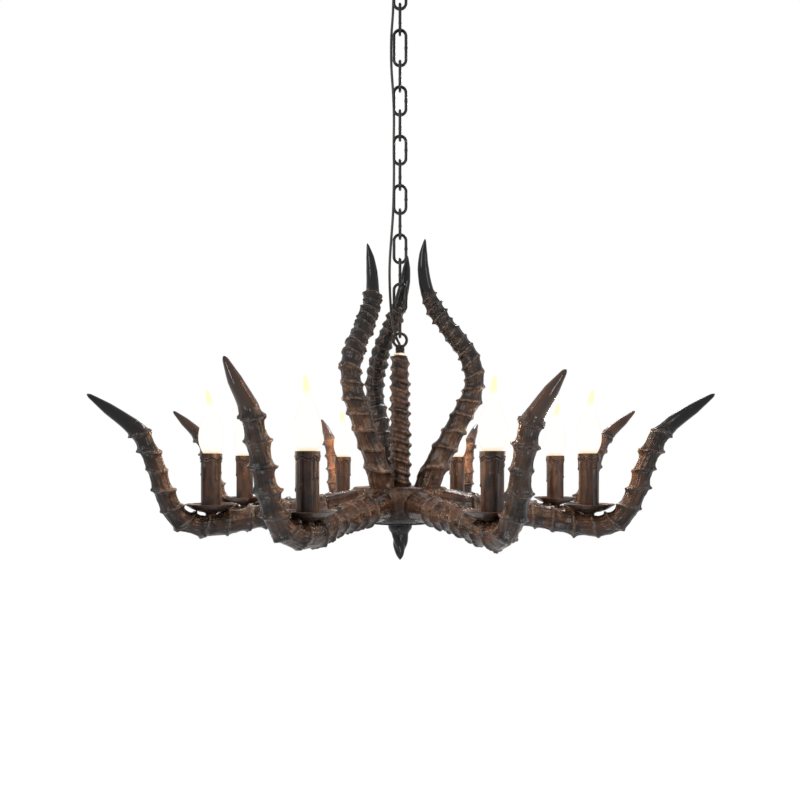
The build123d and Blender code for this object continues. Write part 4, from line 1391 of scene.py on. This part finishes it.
# Lamp holders inside the sleeves: a narrow foot, a wider shell and a well for the bulb's cap
lampHolder = {
    "foot": 0.009,
    "shell": 0.0113,
    "well": 0.0074,
    "footTop": 0.030,
    "shellFoot": 0.028,
    "wellDepth": 0.0245,
    "sides": 56,
}
holderLow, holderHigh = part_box("lamp_holders")
wellFloor = holderHigh.z - lampHolder["wellDepth"]
outline = softened(
    (
        (boreRadius, holderLow.z), (lampHolder["foot"], holderLow.z),
        (lampHolder["foot"], holderHigh.z - lampHolder["footTop"]),
        (lampHolder["shell"], holderHigh.z - lampHolder["shellFoot"]),
        (lampHolder["shell"], holderHigh.z - 0.0006), (lampHolder["shell"] - 0.0005, holderHigh.z),
        (lampHolder["well"] + 0.001, holderHigh.z), (lampHolder["well"], holderHigh.z - 0.001),
        (lampHolder["well"], wellFloor), (boreRadius, wellFloor),
    ),
    0.0005,
)
shape = onEachCandle(latheShape(outline, lampHolder["sides"]))
addShape("lampHolders", shape, "holderPlastic", "lamp_holders")

# Flame bulbs with a bent tip, each on a screw cap
bulb = {
    "radius": 0.0173,
    # (share of the flame's height, share of the radius)
    "profile": (
        (0.00, 0.62), (0.05, 0.76), (0.12, 0.91), (0.20, 0.99), (0.28, 1.0), (0.36, 0.95), (0.44, 0.86),
        (0.52, 0.71), (0.58, 0.57), (0.64, 0.42), (0.70, 0.32), (0.77, 0.26), (0.85, 0.22), (0.93, 0.175),
        (0.985, 0.12),
    ),
    "bendFrom": 0.45,
    "bend": 0.0058,
    "sides": 64,
    "threadRadius": 0.0069,
    "threadDepth": 0.0006,
    "threadPitch": 0.00282,
    "threadRows": 60,
    "capSides": 48,
}
bulbLow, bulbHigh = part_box("bulb_1")
glassLow = holderHigh.z + 0.0004
flame = bulbHigh.z - sleeveTop
outline = [(0, glassLow), (0.0070, glassLow), (0.0076, glassLow + 0.002)]
outline += [(share * bulb["radius"], sleeveTop + rise * flame) for rise, share in bulb["profile"]]
outline = softened(outline + [(0, bulbHigh.z)], 0.004, 5)


def bentTip(shape):
    points, faces = shape
    bent = []
    for x, y, z in points:
        share = max(0, (z - sleeveTop) / flame - bulb["bendFrom"]) / (1 - bulb["bendFrom"])
        bent.append((x + bulb["bend"] * share**2.2, y, z))
    return bent, faces


def threadRelief(angle, radius, height):
    if radius < 0.006:
        return 0
    return bulb["threadDepth"] * (0.5 * cos(tau * height / bulb["threadPitch"] - angle) - 0.5)


glass = bentTip(latheShape(outline, bulb["sides"]))
rows = bulb["threadRows"]
threadHeight = glassLow - bulbLow.z - 0.0065
thread = [(bulb["threadRadius"], bulbLow.z + 0.005 + threadHeight * row / rows) for row in range(rows + 1)]
outline = [(0, 0), (0.0025, 0.0002), (0.0032, 0.002), (0.0063, 0.0045)]
outline = [(radius, bulbLow.z + rise) for radius, rise in outline]
outline += [*thread, (0.0064, glassLow - 0.0002), (0, glassLow - 0.0002)]
cap = latheShape(outline, bulb["capSides"], threadRelief)
for number in range(1, lampCount + 1):
    place, body = candleMatrix(number - 1), f"lamp_{number}"
    piece = addShape(f"bulbGlass{number}", moved(glass, place), "litGlass", f"bulb_{number}", body, 60)
    piece.visible_shadow = False
    addShape(f"bulbCap{number}", moved(cap, place), "capMetal", None, body, 60)
print("candle lamps made")

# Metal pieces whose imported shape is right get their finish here
for node in (
    "ceiling_crossbar",
    "canopy_loop_nut",
    "centre_nuts",
    "centre_tube",
    "horn_bolts",
    "candle_nipples",
):
    cadNodes[node].data.materials.clear()
    cadNodes[node].data.materials.append(finishes["zincSteel"])

# Floor, world and lights
studio = {
    "floorHeight": -2.5,
    "floorHalf": 9,
    "floorColour": (0.86, 0.86, 0.86),
    "ambient": 0.2,
    "target": (0, 0, -0.75),
    # name, place, size, power, colour
    "lights": (
        ("keyLight", (-1.3, -1.5, 0.3), 1.1, 20.0, (0.92, 0.96, 1.0)),
        ("fillLight", (1.6, -1.2, -0.4), 1.0, 11.0, (0.90, 0.95, 1.0)),
        ("backLight", (0.4, 1.6, 0.6), 0.4, 8.0, (1.0, 1.0, 1.0)),
        ("lowLight", (-0.3, -1.0, -2.0), 0.3, 4.0, (0.86, 0.93, 1.0)),
    ),
    "bulbPower": 1.9,
    "bulbColour": (1.0, 0.64, 0.38),
    "filamentSize": 0.018,
    "filamentHeight": 0.34,
}


def seenDirectly(tree):
    path = addNode(tree, "ShaderNodeLightPath").outputs
    direct = calc("MAXIMUM", path["Is Camera Ray"], path["Is Glossy Ray"])
    return calc("MAXIMUM", direct, path["Is Transmission Ray"])


world = bpy.data.worlds.new("studioWorld")
bpy.context.scene.world = world
world.use_nodes = True
tree = world.node_tree
background = tree.nodes["Background"]
background.inputs["Color"].default_value = (1, 1, 1, 1)
level = addNode(tree, "ShaderNodeMix", {0: seenDirectly(tree), 2: studio["ambient"], 3: 1.0}).outputs[0]
tree.links.new(level, background.inputs["Strength"])

floorMaterial, tree, shader = newMaterial("paleFloor")
shader.inputs["Base Color"].default_value = (*studio["floorColour"], 1)
shader.inputs["Roughness"].default_value = 0.9
shader.inputs["Emission Color"].default_value = (1, 1, 1, 1)
tree.links.new(times(seenDirectly(tree), 0.9), shader.inputs["Emission Strength"])
half = studio["floorHalf"]
corners = ((-half, -half), (half, -half), (half, half), (-half, half))
floorMesh = bpy.data.meshes.new("floor")
floorMesh.from_pydata([(x, y, studio["floorHeight"]) for x, y in corners], [], [(0, 1, 2, 3)])
floorMesh.materials.append(floorMaterial)
floor = bpy.data.objects.new("floor", floorMesh)
bpy.context.collection.objects.link(floor)
floor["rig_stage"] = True


def addLight(name, kind, place, power, colour):
    light = bpy.data.lights.new(name, kind)
    light.energy = power
    light.color = colour
    holder = bpy.data.objects.new(name, light)
    bpy.context.collection.objects.link(holder)
    holder.location = place
    return holder


for name, place, size, power, colour in studio["lights"]:
    holder = addLight(name, "AREA", place, power, colour)
    holder.data.shape = "DISK"
    holder.data.size = size
    aim = Vector(studio["target"]) - Vector(place)
    holder.rotation_euler = aim.to_track_quat("-Z", "Y").to_euler()
for number, (angle, place) in enumerate(candlePlaces, 1):
    place = place + Vector((0, 0, sleeveTop + studio["filamentHeight"] * flame))
    holder = addLight(f"bulbLight{number}", "POINT", place, studio["bulbPower"], studio["bulbColour"])
    holder.data.shadow_soft_size = studio["filamentSize"]
    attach(holder, f"lamp_{number}")
print("studio made")

triangles = {}
for item in bpy.data.objects:
    if item.type == "MESH" and not item.hide_render and not item.get("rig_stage"):
        triangles[item.name] = sum(len(polygon.vertices) - 2 for polygon in item.data.polygons)
print("triangles", sum(triangles.values()), "largest", max(triangles.items(), key=lambda entry: entry[1]))
